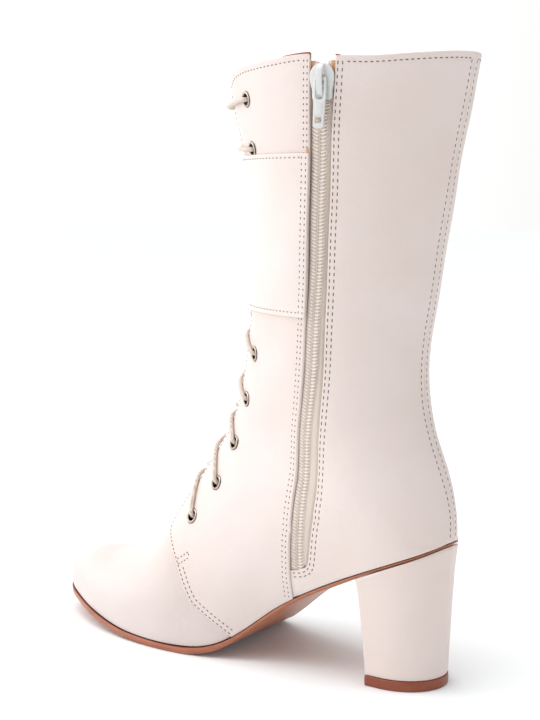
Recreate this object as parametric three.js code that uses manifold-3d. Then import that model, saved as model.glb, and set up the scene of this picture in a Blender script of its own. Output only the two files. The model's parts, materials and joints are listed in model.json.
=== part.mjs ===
// Laced mid-calf dress boot for the right foot, with a block heel and a full-length zip
// on its inner side.  Millimetres, +Z up, +X towards the toe, +Y towards the inner side.
// The origin is the middle of the heel's resting face, on the floor.
import * as THREE from 'three';
import { mergeVertices } from 'three/addons/utils/BufferGeometryUtils.js';
import Module from 'manifold-3d';

const wasm = await Module();
wasm.setup();

// ---------------------------------------------------------------- driving sizes
const WALL = 2.0;            // leather and lining together
const GAP = 0.3;             // fit between curved pieces
const HEEL_ROW = 16;         // section row at the back of the heel seat
const SOLE_EDGE = 0.9;       // sole edge beyond the feather line at the forefoot
const SEAT_INSET = 0.35;     // sole edge behind the feather line over the heel
const INSOLE_T = 2.0;
const TOP_PIECE_T = 5.2;     // wearing piece under the heel
const BREAST_X = 17.6;       // front face of the heel at the seat
const EYELET = { rim: 4.15, bore: 2.15, barrel: 2.6, hole: 2.95, low: 0.25, high: 0.95, depth: 2.5 };
const LACE_R = 1.3;
const TONGUE = { near: 2.8, far: 4.4, side: 11 };
const BAND = { near: 1.25, far: 2.65, low: 181.0, high: 259.2, zipGap: 0.9 };
const CHAIN = { half: 3.0, near: 0.2, far: 2.0, low: 56.5, high: 282.6 };
const TAPE = { near: 2.9, far: 3.6, under: 7.0, low: 50, high: 300, split: 0.25, splitTop: 1.9, splitZ: 281 };
const SLIDER = { z: 292.6, width: 12.0, narrow: 9.4, up: 7.2, down: 9.4, proud: 0.8 };

// ---------------------------------------------------------------- sections of the last
// Each row is one section in a plane that holds the Y direction.  It runs from the base
// point (bx, bz) on the feather line, or on the back seam above the heel seat, to the
// ridge point (rx, rz) on the toe, vamp, instep or shin.
// ym, yl   half widths at the base, inner and outer side
// wm, wl   widest half widths, inner and outer side
// um       place of the widest point along the section
// ka, kb   how pointed the section is at its base and at its ridge, 0 for an ellipse
// yr, yb   sideways place of the ridge and of the base
const SECTION_COLUMNS = ['bx', 'bz', 'ym', 'yl', 'rx', 'rz', 'wm', 'wl', 'um', 'ka', 'kb', 'yr', 'yb'];
const SECTIONS = [
  [227.6, 14.6, 0, 0, 228.8, 21.5, 0, 0, 0.35, 0, 0, 1, 1],
  [226.4, 14.7, 5, 5, 227.6, 26.2, 5.6, 5.6, 0.35, 0, -0.05, 1, 1],
  [223.0, 14.3, 10, 9.8, 224.4, 30.6, 10.8, 10.6, 0.35, 0, -0.1, 1, 1],
  [216.6, 13.4, 15.2, 14.8, 218.2, 34.6, 16.3, 15.8, 0.34, 0, -0.1, 1, 1],
  [208.4, 12.1, 20, 19.4, 209.6, 37.4, 21.4, 20.8, 0.33, 0, -0.1, 1.2, 1],
  [198.5, 10.5, 25.2, 24.4, 198.6, 39.3, 26.8, 26, 0.32, 0, -0.08, 1.5, 1],
  [184.0, 8.1, 31, 30.4, 184.0, 41.1, 32.7, 32.2, 0.31, 0, -0.03, 2, 1],
  [164.0, 5.2, 36, 37, 167.1, 46.5, 37.6, 38.8, 0.3, 0, 0.06, 3, 1],
  [142.0, 4.0, 38.3, 41.8, 151.9, 56.0, 39.8, 43.4, 0.29, 0, 0.16, 4, 1],
  [119.0, 4.0, 37.3, 42.6, 142.6, 70.4, 38.8, 44.4, 0.29, 0, 0.19, 4.5, 1],
  [95.0, 10.2, 31.0, 36.4, 134.2, 83.6, 34.6, 41.8, 0.3, 0, 0.2, 4.5, 1],
  [68.0, 30.0, 23.4, 28.6, 125.6, 95.3, 31, 37.8, 0.33, 0, 0.2, 4, 1.4],
  [38.0, 47.2, 24.8, 26.6, 118.8, 106.4, 30.4, 34.6, 0.34, 0, 0.2, 3, 2],
  [8.0, 61.0, 26.4, 25.8, 113.6, 116.0, 30.4, 32.4, 0.34, 0, 0.21, 2, 2.6],
  [-12.0, 69.2, 19.4, 19.4, 111.0, 123.4, 30.6, 32, 0.35, 0, 0.22, 1.5, 3],
  [-19.4, 72.6, 10.4, 10.4, 109.4, 127.0, 30.8, 31.6, 0.36, 0, 0.22, 1.2, 3],
  [-22.0, 73.8, 0, 0, 108.0, 129.8, 31.2, 31.6, 0.36, 0, 0.22, 1.5, 3],
  [-21.8, 87.0, 0, 0, 106.4, 134.8, 31.6, 32, 0.38, 0.19, 0.22, 1.2, 2.8],
  [-18.2, 101.0, 0, 0, 104.3, 142.6, 32.4, 32.6, 0.4, 0.19, 0.22, 1, 2.5],
  [-10.4, 121.0, 0, 0, 101.2, 154.2, 32.6, 33.4, 0.42, 0.19, 0.22, 0.6, 2],
  [-4.2, 146.0, 0, 0, 98.6, 170.0, 33.6, 34.4, 0.43, 0.19, 0.22, 0.3, 1.4],
  [-6.0, 176.0, 0, 0, 95.6, 194.0, 36, 36.8, 0.44, 0.19, 0.2, 0, 1],
  [-11.2, 210.0, 0, 0, 94.8, 224.5, 39, 39.8, 0.45, 0.19, 0.16, 0, 0.6],
  [-16.6, 244.0, 0, 0, 98.0, 255.0, 42, 42.8, 0.46, 0.19, 0.13, 0, 0.3],
  [-23.0, 278.0, 0, 0, 106.4, 284.0, 44.6, 45.4, 0.47, 0.19, 0.1, 0, 0],
  [-30.2, 312.0, 0, 0, 112.0, 314.0, 46.6, 47.4, 0.48, 0.19, 0.08, 0, 0],
];
const LAST = SECTIONS.length - 1;

// sole thickness under the feather line, by section row
const SOLE_COLUMNS = ['row', 'thick'];
const SOLE = [[0, 3.7], [8, 3.7], [9.8, 3.6], [10.4, 2.7], [11, 2.0], [12, 1.7], [12.5, 1.6], [12.8, 1.3], [16, 1.3]];

// slit for the zip seen from the side: front edge, coil and back edge, by height
const ZIP_COLUMNS = ['z', 'front', 'coil', 'back'];
const ZIP = [
  [48, 54.4, 49.3, 44.6], [62, 53.8, 48.6, 42.8], [87, 52.2, 46.9, 38.7], [105, 50.6, 45.2, 36.9], [128, 47.7, 42.6, 34.9],
  [143, 45.8, 40.5, 34.0], [165, 43.1, 38.0, 32.3], [190, 40.6, 34.9, 29.8], [214, 38.8, 32.2, 27.8], [238, 37.0, 30.3, 25.4],
  [270, 35.1, 27.9, 23.4], [302, 33.9, 26.9, 20.5], [325, 33.0, 26.0, 18.5],
];
const ZIP_END = 53.6;        // bottom of the slit

// lacing gap seen from the front: middle and half width, by height
const THROAT_COLUMNS = ['z', 'mid', 'half'];
const THROAT = [
  [85, 4.4, 7.6], [95, 4.0, 7.6], [112, 2.8, 6.8], [135, 1.4, 6.8], [160, 0.6, 8.5], [200, 0, 12.5],
  [240, 0, 17], [262, 0, 20.5], [286, 0, 22.5], [305, 0, 24], [330, 0, 25],
];

// collar edge seen from the side
const COLLAR_COLUMNS = ['x', 'z'];
const COLLAR = [
  [-60, 306.5], [-30, 305.3], [-12, 303.8], [4, 302.6], [20, 303.2], [35, 304.8], [57, 303.1], [79, 301.4],
  [88, 299.4], [93, 296.8], [96.5, 293], [99, 288], [101, 282], [140, 282],
];

// eyelets of the inner side, seen from the side, from the collar down
const EYELET_COLUMNS = ['x', 'z'];
const EYELETS = [[77.1, 285.6], [76.3, 261.8], [84.6, 159.2], [92.6, 134.9], [99.8, 111.3], [107.4, 90.1], [121.0, 71.1]];

// ---------------------------------------------------------------- curves
const named = (columns, rows) => rows.map((r) => Object.fromEntries(columns.map((c, i) => [c, r[i]])));

// cubic spline through values at 0, 1, 2 ...; natural ends, or level at the start
function spline(y, level = false) {
  const n = y.length, b = new Array(n), c = new Array(n), r = new Array(n);
  b[0] = level ? 1 : 2; c[0] = level ? 0 : 1; r[0] = level ? 0 : 3 * (y[1] - y[0]);
  for (let i = 1; i < n; i++) {
    const a = 1, bb = i < n - 1 ? 4 : 2;
    const rr = i < n - 1 ? 3 * (y[i + 1] - y[i - 1]) : 3 * (y[n - 1] - y[n - 2]);
    const w = a / b[i - 1];
    b[i] = bb - w * c[i - 1]; c[i] = 1; r[i] = rr - w * r[i - 1];
  }
  const m = new Array(n);
  m[n - 1] = r[n - 1] / b[n - 1];
  for (let i = n - 2; i >= 0; i--) m[i] = (r[i] - c[i] * m[i + 1]) / b[i];
  return (s) => {
    s = Math.min(Math.max(s, 0), n - 1);
    const i = Math.min(Math.floor(s), n - 2), t = s - i, t2 = t * t, t3 = t2 * t;
    return (2 * t3 - 3 * t2 + 1) * y[i] + (t3 - 2 * t2 + t) * m[i] + (-2 * t3 + 3 * t2) * y[i + 1] + (t3 - t2) * m[i + 1];
  };
}

// straight interpolation in a table with named columns
function lookup(columns, rows, key, by, x) {
  const k = columns.indexOf(key), b = columns.indexOf(by);
  if (x <= rows[0][b]) return rows[0][k];
  for (let i = 1; i < rows.length; i++) {
    if (x <= rows[i][b]) {
      const f = (x - rows[i - 1][b]) / (rows[i][b] - rows[i - 1][b]);
      return rows[i - 1][k] + f * (rows[i][k] - rows[i - 1][k]);
    }
  }
  return rows[rows.length - 1][k];
}

const column = {};
for (const [i, c] of SECTION_COLUMNS.entries()) {
  const y = SECTIONS.map((r) => r[i]);
  if (['bx', 'bz', 'ym', 'yl'].includes(c)) {
    const foot = spline(y.slice(0, HEEL_ROW + 1), c === 'bx' || c === 'bz');
    const seam = spline(y.slice(HEEL_ROW));
    column[c] = (s) => (s <= HEEL_ROW ? foot(s) : seam(s - HEEL_ROW));
  } else column[c] = spline(y, c === 'rx');
}

// a point of the boot's outer surface: section s, and t from -1 at the outer side's base
// over 0 at the ridge to 1 at the inner side's base
function surface(s, t) {
  const g = {};
  for (const c of SECTION_COLUMNS) g[c] = column[c](s);
  const inner = t >= 0, a = Math.min(Math.abs(t), 1);
  const w = Math.max(inner ? g.wm : g.wl, 1e-6);
  const y0 = Math.min(Math.max(inner ? g.ym : g.yl, 0), w * 0.985);
  const S = (al, k) => (1 - k) * Math.sin(al) + k * Math.sin(al) ** 2;
  const C = (al, k) => (1 - k) * Math.cos(al) + k * Math.cos(al) ** 2;
  let u, y;
  if (a <= 0.5) {
    const al = a * Math.PI;
    u = g.um + (1 - g.um) * C(al, g.kb); y = w * S(al, g.kb);
  } else {
    const k = Math.abs(g.ka) < 1e-4 ? 1e-4 : g.ka, g0 = y0 / w;
    const x0 = (-(1 - k) + Math.sqrt((1 - k) ** 2 + 4 * k * g0)) / (2 * k);
    const a0 = Math.asin(Math.min(Math.max(x0, 0), 1));
    const al = Math.PI / 2 - (a * 2 - 1) * (Math.PI / 2 - a0);
    u = g.um - (g.um / Math.max(C(a0, k), 1e-6)) * C(al, k); y = w * S(al, k);
  }
  const mid = g.yb + (g.yr - g.yb) * Math.min(Math.max(u, 0), 1);
  if (s <= 0 || (a >= 1 && s >= HEEL_ROW)) y = 0;
  return new THREE.Vector3(g.bx + (g.rx - g.bx) * u, mid + (inner ? y : -y), g.bz + (g.rz - g.bz) * u);
}

// outward normal of that surface
function normal(s, t) {
  const h = 1e-3, one = () => {
    const tt = Math.min(Math.max(t, -1 + h), 1 - h);
    const ps = surface(Math.min(s + h, LAST), tt).sub(surface(Math.max(s - h, 0), tt));
    const pt = surface(s, tt + h).sub(surface(s, tt - h));
    return new THREE.Vector3().crossVectors(ps, pt).normalize();
  };
  if (s <= 0) {                       // the line down the front of the toe
    const a = Math.abs(t);
    const d = surface(0, Math.min(a + h, 1)).sub(surface(0, Math.max(a - h, 0)));
    return new THREE.Vector3(-d.z, 0, d.x).normalize();
  }
  if (Math.abs(t) >= 1 && s >= HEEL_ROW) {   // the back seam
    const d = surface(Math.min(s + h, LAST), 1).sub(surface(Math.max(s - h, HEEL_ROW), 1));
    return new THREE.Vector3(-d.z, 0, d.x).normalize();
  }
  return one();
}
const NSIGN = (() => {
  const n = normal(21, 0.5);
  return n.y > 0 ? 1 : -1;
})();
function offset(s, t, d) {            // d outwards
  const n = normal(s, t);
  const onEnd = s <= 0 || (Math.abs(t) >= 1 && s >= HEEL_ROW);
  return surface(s, t).addScaledVector(n, onEnd ? d : d * NSIGN);
}

// section and side place of the surface point at x, z on one side of the boot
function at(x, z, side = 1) {
  let best = [0, 0, 1e9];
  for (let s = 8; s <= LAST; s += 0.5) {
    for (let t = 0.06; t < 0.99; t += 0.04) {
      const p = surface(s, side * t), e = (p.x - x) ** 2 + (p.z - z) ** 2;
      if (e < best[2]) best = [s, t, e];
    }
  }
  let [s, t] = best;
  for (let i = 0; i < 12; i++) {
    const h = 1e-4, p = surface(s, side * t), a = surface(s + h, side * t), b = surface(s, side * (t + h));
    const j = [(a.x - p.x) / h, (b.x - p.x) / h, (a.z - p.z) / h, (b.z - p.z) / h];
    const det = j[0] * j[3] - j[1] * j[2], ex = x - p.x, ez = z - p.z;
    if (Math.abs(det) < 1e-9) break;
    s += Math.max(-1, Math.min(1, (j[3] * ex - j[1] * ez) / det));
    t += Math.max(-0.1, Math.min(0.1, (-j[2] * ex + j[0] * ez) / det));
    s = Math.min(Math.max(s, 0.1), LAST); t = Math.min(Math.max(t, 0.01), 0.995);
  }
  return [s, side * t];
}

// section whose surface point at side place t lies at height z, above the instep
function sectionAt(z, t) {
  let lo = 16, hi = LAST;
  for (let i = 0; i < 40; i++) {
    const m = (lo + hi) / 2;
    if (surface(m, t).z < z) lo = m; else hi = m;
  }
  return (lo + hi) / 2;
}

// ---------------------------------------------------------------- solids
function closed(points, faces) {
  const g = new THREE.BufferGeometry(), v = [];
  for (const f of faces) for (const i of f) v.push(points[i].x, points[i].y, points[i].z);
  g.setAttribute('position', new THREE.Float32BufferAttribute(v, 3));
  const m = mergeVertices(g, 1e-3);
  // leave out faces that closed up, and turn the body so that its faces point out
  const idx = m.index.array, p = m.getAttribute('position'), keep = [];
  let vol = 0;
  for (let i = 0; i < idx.length; i += 3) {
    const [a, b, c] = [idx[i], idx[i + 1], idx[i + 2]];
    if (a === b || b === c || a === c) continue;
    keep.push(a, b, c);
    const A = new THREE.Vector3().fromBufferAttribute(p, a), B = new THREE.Vector3().fromBufferAttribute(p, b), C = new THREE.Vector3().fromBufferAttribute(p, c);
    vol += A.dot(B.cross(C));
  }
  if (vol < 0) for (let i = 0; i < keep.length; i += 3) [keep[i + 1], keep[i + 2]] = [keep[i + 2], keep[i + 1]];
  m.setIndex(keep);
  return m;
}

function solid(geometry) {
  const g = geometry.clone();
  g.deleteAttribute('normal'); g.deleteAttribute('uv');
  const m = mergeVertices(g, 1e-4);
  return new wasm.Manifold(new wasm.Mesh({ numProp: 3, vertProperties: new Float32Array(m.getAttribute('position').array), triVerts: new Uint32Array(m.index.array) }));
}

function geometryOf(body) {
  const m = body.getMesh(), v = new Float32Array(m.numVert * 3);
  for (let i = 0; i < m.numVert; i++) for (let k = 0; k < 3; k++) v[3 * i + k] = m.vertProperties[i * m.numProp + k];
  const g = new THREE.BufferGeometry();
  g.setAttribute('position', new THREE.BufferAttribute(v, 3));
  g.setIndex(Array.from(m.triVerts));
  return g;
}

// solid between two grids of the same size, closed round its four edges
function slab(A, B) {
  const n = A.length, m = A[0].length, pts = [...A.flat(), ...B.flat()], F = [];
  const a = (i, j) => i * m + j, b = (i, j) => n * m + i * m + j;
  const quad = (p, q, r, s) => { F.push([p, q, r], [p, r, s]); };
  for (let i = 0; i < n - 1; i++) for (let j = 0; j < m - 1; j++) {
    quad(a(i, j), a(i + 1, j), a(i + 1, j + 1), a(i, j + 1));
    quad(b(i, j), b(i, j + 1), b(i + 1, j + 1), b(i + 1, j));
  }
  for (let i = 0; i < n - 1; i++) {
    quad(a(i, 0), b(i, 0), b(i + 1, 0), a(i + 1, 0));
    quad(a(i, m - 1), a(i + 1, m - 1), b(i + 1, m - 1), b(i, m - 1));
  }
  for (let j = 0; j < m - 1; j++) {
    quad(a(0, j), a(0, j + 1), b(0, j + 1), b(0, j));
    quad(a(n - 1, j), b(n - 1, j), b(n - 1, j + 1), a(n - 1, j + 1));
  }
  return closed(pts, F);
}

// prism: outline in a plane, pushed along a direction
function prism(outline, U, V, W, from, to) {
  const shape = new THREE.Shape(outline.map(([a, b]) => new THREE.Vector2(a, b)));
  const g = new THREE.ExtrudeGeometry(shape, { depth: to - from, bevelEnabled: false, steps: 1 });
  g.translate(0, 0, from);
  g.applyMatrix4(new THREE.Matrix4().makeBasis(U, V, W));
  return solid(g);
}
const X = new THREE.Vector3(1, 0, 0), Y = new THREE.Vector3(0, 1, 0), Z = new THREE.Vector3(0, 0, 1);

const range = (a, b, n) => Array.from({ length: n + 1 }, (_, i) => a + (b - a) * i / n);

// ---------------------------------------------------------------- upper
const eyeletPlaces = [];
for (const e of named(EYELET_COLUMNS, EYELETS)) {
  const [s, t] = at(e.x, e.z);
  eyeletPlaces.push([s, t]);
}

const footRows = [...range(0, 3, 6), 3.6, 4.2, 5, 5.8, 6.6, 7.4, 8.2, 9, 9.6, 10.2, 10.8, 11.4, 12, 12.5, 13, 13.6, 14.2, 14.8, 15.4, HEEL_ROW];
const upperRows = [...footRows, 16.7, 17.4, 18.2, 19, 20, 21, 22, 23, 24, LAST];
function upperGeometry() {
  const rows = upperRows;
  const ts = range(-1, 1, 26);
  const A = [], B = [];
  for (const s of rows) {
    A.push(ts.map((t) => surface(s, t)));
    B.push(ts.map((t) => offset(s, t, -WALL)));
  }
  const n = rows.length, m = ts.length, pts = [...A.flat(), ...B.flat()], F = [];
  const a = (i, j) => i * m + j, b = (i, j) => n * m + i * m + j;
  const quad = (p, q, r, s) => { F.push([p, q, r], [p, r, s]); };
  for (let i = 0; i < n - 1; i++) {
    for (let j = 0; j < m - 1; j++) {
      quad(a(i, j), a(i + 1, j), a(i + 1, j + 1), a(i, j + 1));
      quad(b(i, j), b(i, j + 1), b(i + 1, j + 1), b(i + 1, j));
    }
    if (rows[i] < HEEL_ROW) {         // feather edge
      quad(a(i, 0), b(i, 0), b(i + 1, 0), a(i + 1, 0));
      quad(a(i, m - 1), a(i + 1, m - 1), b(i + 1, m - 1), b(i, m - 1));
    }
  }
  for (let j = 0; j < m - 1; j++) quad(a(n - 1, j), b(n - 1, j), b(n - 1, j + 1), a(n - 1, j + 1));
  let body = solid(closed(pts, F));
  // collar
  body = body.subtract(prism([...COLLAR, [140, 340], [-60, 340]], X, Z, new THREE.Vector3(0, -1, 0), -90, 90));
  // slit for the zip, with a rounded end
  const front = ZIP.filter((r) => r[0] > 60).map((r) => [r[1], r[0]]);
  const back = ZIP.filter((r) => r[0] > 60).map((r) => [r[3], r[0]]).reverse();
  const end = [[43.4, 58.2], [44.6, 55.4], [46.8, 53.9], [49.6, ZIP_END], [52.2, 54.4], [53.5, 56.4]];
  body = body.subtract(prism([...front.slice().reverse(), ...end.slice().reverse(), ...back.slice().reverse()], X, Z, new THREE.Vector3(0, -1, 0), -90, -8));
  // lacing gap
  const left = THROAT.map(([z, mid, half]) => [mid - half, z]), right = THROAT.map(([z, mid, half]) => [mid + half, z]);
  const [z0, mid0, half0] = THROAT[0];
  const round = range(0, Math.PI, 8).slice(1, -1).map((al) => [mid0 + half0 * Math.cos(al), z0 - 6.5 * Math.sin(al)]);
  body = body.subtract(prism([...left.slice().reverse(), ...round.slice().reverse(), ...right], Y, Z, X, 60, 170));
  // eyelet holes
  for (const [s, t0] of eyeletPlaces) for (const t of [t0, -t0]) {
    const g = new THREE.CylinderGeometry(EYELET.hole, EYELET.hole, 9, 8);
    const nrm = normal(s, t).multiplyScalar(NSIGN);
    g.applyQuaternion(new THREE.Quaternion().setFromUnitVectors(Y, nrm));
    const p = surface(s, t); g.translate(p.x, p.y, p.z);
    body = body.subtract(solid(g));
  }
  const parts = body.decompose();
  parts.sort((p, q) => q.volume() - p.volume());
  return geometryOf(parts[0]);
}

// ---------------------------------------------------------------- sole pieces
const base = (s, side, out) => {      // feather line moved sideways by out
  const h = 1e-3, w = side > 0 ? column.ym : column.yl;
  const f = (q) => [column.bx(q), column.yb(q) + side * Math.max(w(q), 0)];
  const [x, y] = f(s), [xa, ya] = f(Math.max(s - h, 0)), [xb, yb] = f(Math.min(s + h, HEEL_ROW));
  let nx = (yb - ya) * side, ny = -(xb - xa) * side;
  if (s < 0.01) { nx = 1; ny = 0; }
  if (s > HEEL_ROW - 0.01) { nx = -1; ny = 0; }
  const l = Math.hypot(nx, ny) || 1;
  return [x + out * nx / l, y + out * ny / l];
};

// slab between two lines of the feather outline, with its own top and bottom height
function soleSlab(rows, out, top, bottom) {
  const A = [], B = [];
  for (const s of rows) {
    const o = typeof out === 'function' ? out(s) : out;
    const [xi, yi] = base(s, 1, o), [xo, yo] = base(s, -1, o);
    const r = [], q = [];
    for (const f of [0, 0.5, 1]) {
      const x = xo + (xi - xo) * f, y = yo + (yi - yo) * f;
      r.push(new THREE.Vector3(x, y, top(s))); q.push(new THREE.Vector3(x, y, bottom(s)));
    }
    A.push(r); B.push(q);
  }
  return slab(A, B);
}
const soleRows = [...footRows, 0.25, 12.8, 15.75].sort((a, b) => a - b);
const thick = (s) => lookup(SOLE_COLUMNS, SOLE, 'thick', 'row', s);
const soleOut = (s) => (s < 11 ? SOLE_EDGE : s > 12.8 ? -SEAT_INSET : SOLE_EDGE + (s - 11) / 1.8 * (-SEAT_INSET - SOLE_EDGE));
const soleBottom = (s) => {
  const z = column.bz(s) - GAP - thick(s);
  return Math.abs(z) < 0.32 ? 0 : Math.max(z, 0);
};

// ---------------------------------------------------------------- heel
// outline of the heel, from the breast corner round the back: seat at the top, D at the bottom
const HEEL_STEPS = 9;
const topRow = (k) => {               // section row whose base lies at the step's x
  let lo = 12, hi = HEEL_ROW;
  const f = Math.sin((k / HEEL_STEPS) * Math.PI / 2);
  const xTarget = BREAST_X + (column.bx(HEEL_ROW) - BREAST_X) * f;
  for (let i = 0; i < 40; i++) { const m = (lo + hi) / 2; if (column.bx(m) > xTarget) lo = m; else hi = m; }
  return k === HEEL_STEPS ? HEEL_ROW : (lo + hi) / 2;
};
const D = { front: 15.6, straight: 7.6, back: 24.2, half: 20.9, mid: 0.9 };
const lowPoint = (k, side, out = 0) => {
  const f = k / HEEL_STEPS, cut = 0.22;
  if (f < cut) return [D.front + out + (D.straight - D.front) * f / cut - 2 * out * f, D.mid + side * (D.half + out)];
  const al = (f - cut) / (1 - cut) * Math.PI / 2;
  return [D.straight - (D.back + out) * Math.sin(al), D.mid + side * (D.half + out) * Math.cos(al)];
};
function heelGeometry() {
  const levels = [0, 0.08, 0.2, 0.4, 0.7, 1];
  const bulge = [0, 0.16, 0.32, 0.52, 0.77, 1];   // quick flare under the seat
  const M = [], L = [];
  for (let k = 0; k <= HEEL_STEPS; k++) {
    const s = topRow(k), zt = column.bz(s) - GAP - thick(s) - GAP, mi = [], li = [];
    for (const side of [1, -1]) {
      const [tx, ty] = base(s, side, -SEAT_INSET + 0.1), [bx, by] = lowPoint(k, side);
      levels.forEach((v, i) => {
        const f = bulge[i], z = zt + (TOP_PIECE_T + GAP - zt) * v;
        (side > 0 ? mi : li).push(new THREE.Vector3(tx + (bx - tx) * f, ty + (by - ty) * f, z));
      });
    }
    M.push(mi); L.push(li);
  }
  return slab(M, L);                   // ends closed by the breast, the seat and the low face
}
function topPieceGeometry() {
  const A = [], B = [];
  for (let k = 0; k <= HEEL_STEPS * 2; k++) {
    const r = [], q = [];
    for (const side of [1, -1]) {
      const [x, y] = lowPoint(k / 2, side, 0.15);
      r.push(new THREE.Vector3(x, y, TOP_PIECE_T)); q.push(new THREE.Vector3(x, y, 0));
    }
    A.push(r); B.push(q);
  }
  return slab(A, B);
}

// ---------------------------------------------------------------- tongue and band
function tongueGeometry() {
  const A = [], B = [];
  for (const s of [...upperRows.filter((r) => r > 9 && r < LAST), 24.35]) {
    const p0 = surface(s, 0), half = lookup(THROAT_COLUMNS, THROAT, 'half', 'z', p0.z) + TONGUE.side;
    const place = (side) => {          // side place at that distance from the middle
      let d = 0, prev = p0, t = 0;
      while (d < half && t < 0.45) { t += 0.005; const p = surface(s, side * t); d += p.distanceTo(prev); prev = p; }
      return side * t;
    };
    const ts = [...range(place(-1), 0, 4), ...range(0, place(1), 4).slice(1)];
    A.push(ts.map((t) => offset(s, t, -TONGUE.near)));
    B.push(ts.map((t) => offset(s, t, -TONGUE.far)));
  }
  return slab(A, B);
}
function bandGeometry() {
  const A = [], B = [];
  for (const z of range(BAND.low, BAND.high, 6)) {
    const [, tEdge] = at(lookup(ZIP_COLUMNS, ZIP, 'front', 'z', z) + BAND.zipGap, z);
    const r = [], q = [];
    for (const t of range(-tEdge, tEdge, 20)) {
      const s = sectionAt(z, t);
      r.push(offset(s, t, BAND.far)); q.push(offset(s, t, BAND.near));
    }
    A.push(r); B.push(q);
  }
  return slab(A, B);
}

// ---------------------------------------------------------------- zip
// strip that follows the boot's side between two lines given by height
function strip(xa, xb, zs, near, far, across = 2) {
  const A = [], B = [];
  for (const z of zs) {
    const r = [], q = [];
    for (const f of range(0, 1, across)) {
      const [s, t] = at(xa(z) + (xb(z) - xa(z)) * f, z);
      r.push(offset(s, t, -near)); q.push(offset(s, t, -far));
    }
    A.push(r); B.push(q);
  }
  return slab(A, B);
}
const zipX = (key) => (z) => lookup(ZIP_COLUMNS, ZIP, key, 'z', z);
const split = (z) => (z < TAPE.splitZ - 3 ? TAPE.split : z > TAPE.splitZ ? TAPE.splitTop : TAPE.split + (z - TAPE.splitZ + 3) / 3 * (TAPE.splitTop - TAPE.split));
const tapeZ = [TAPE.low, 66, 82, 98, 114, 130, 146, 165, 190, 214, 238, 258, 274, TAPE.splitZ - 3, TAPE.splitZ, 290, TAPE.high];
const chainZ = [CHAIN.low, 66, 82, 98, 114, 130, 146, 165, 190, 214, 238, 258, 272, CHAIN.high];

// local frame of the slider: h along the boot, v up the zip, n outwards
const sliderFrame = (() => {
  const p = (z) => { const [s, t] = at(zipX('coil')(z), z); return [s, t]; };
  const [s, t] = p(SLIDER.z), a = p(SLIDER.z - 6), b = p(SLIDER.z + 6);
  const O = offset(s, t, SLIDER.proud), v = surface(b[0], b[1]).sub(surface(a[0], a[1])).normalize();
  let n = normal(s, t).multiplyScalar(NSIGN);
  n.addScaledVector(v, -n.dot(v)).normalize();
  const h = new THREE.Vector3().crossVectors(v, n).normalize();
  return { O, h, v, n, m: new THREE.Matrix4().makeBasis(h, v, n).setPosition(O) };
})();
const PIN = { height: 1.38, arch: 3.2 };
function sliderGeometry() {
  const { width, narrow, up, down } = SLIDER;
  const outline = [];
  for (const al of range(0, Math.PI, 10)) outline.push([width / 2 * Math.cos(al), 1.2 + (up - 1.2) * Math.sin(al)]);
  outline.push([-width / 2 + 0.3, -1.5], [-narrow / 2, -4.5], [-narrow / 2, -down + 0.8], [-narrow / 2 + 0.8, -down], [narrow / 2 - 0.8, -down], [narrow / 2, -down + 0.8], [narrow / 2, -4.5], [width / 2 - 0.3, -1.5]);
  let body = prism(outline, X, Y, Z, -3.0, 0);
  body = body.add(prism(outline.map(([a, b]) => [a * 0.94, b * 0.94]), X, Y, Z, -6.3, -5.1));
  body = body.add(prism([[-1.2, -3], [1.2, -3], [1.2, 5], [-1.2, 5]], X, Y, Z, -5.4, -2.7));
  // bridge over the pull's bar
  const arch = [[-5.8, -0.4], [-5.8, 1.6], [-4.6, PIN.arch - 0.2], [-2, PIN.arch], [2, PIN.arch], [3.8, PIN.arch - 0.3], [5.0, 1.7], [5.2, -0.4]];
  const eye = [[-2.0, 0.3], [-1.8, 2.45], [1.6, 2.45], [1.9, 0.3]];
  const along = (o) => prism(o, Y, Z, X, -1.5, 1.5);
  body = body.add(along(arch));
  body = body.subtract(prism(eye, Y, Z, X, -3, 3));
  const g = geometryOf(body);
  g.applyMatrix4(sliderFrame.m);
  return g;
}
// the pull hangs from its bar under the bridge; made about the bar's own axis
function pullGeometry() {
  const w = 3.0, len = 24.5, th = 0.6;
  const plate = [[-w + 0.4, 0.7], [w - 0.4, 0.7], [w, 0.4], [w, -len + 1.6], [w - 0.5, -len + 0.5], [w - 1.6, -len], [-w + 1.6, -len], [-w + 0.5, -len + 0.5], [-w, -len + 1.6], [-w, 0.4]];
  let body = prism(plate, X, Y, Z, -th, th);
  body = body.subtract(prism([[-1.9, -0.7], [1.9, -0.7], [1.9, -8.0], [1.1, -9.0], [-1.1, -9.0], [-1.9, -8.0]].reverse(), X, Y, Z, -3, 3));
  body = body.subtract(prism([[-1.1, -18.6], [1.1, -18.6], [1.1, -21.6], [-1.1, -21.6]].reverse(), X, Y, Z, -3, 3));
  return geometryOf(body);
}

// ---------------------------------------------------------------- eyelets and laces
function eyeletGeometry(s, t) {
  const e = EYELET;
  const profile = [[e.bore, -e.depth], [e.barrel, -e.depth], [e.barrel, e.low], [e.rim, e.low], [3.2, e.high], [e.bore, e.high - 0.2], [e.bore, -e.depth]];
  const g = new THREE.LatheGeometry(profile.map(([r, h]) => new THREE.Vector2(r, h)), 8);
  const n = normal(s, t).multiplyScalar(NSIGN);
  g.applyQuaternion(new THREE.Quaternion().setFromUnitVectors(Y, n));
  const p = surface(s, t); g.translate(p.x, p.y, p.z);
  g.deleteAttribute('normal'); g.deleteAttribute('uv');
  const m = mergeVertices(g, 1e-4), idx = m.index.array, keep = [];
  for (let i = 0; i < idx.length; i += 3) if (idx[i] !== idx[i + 1] && idx[i + 1] !== idx[i + 2] && idx[i] !== idx[i + 2]) keep.push(idx[i], idx[i + 1], idx[i + 2]);
  m.setIndex(keep);
  const body = solid(m);
  return body.volume() > 0 ? geometryOf(body) : geometryOf(solid(flip(m)));
}
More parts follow.
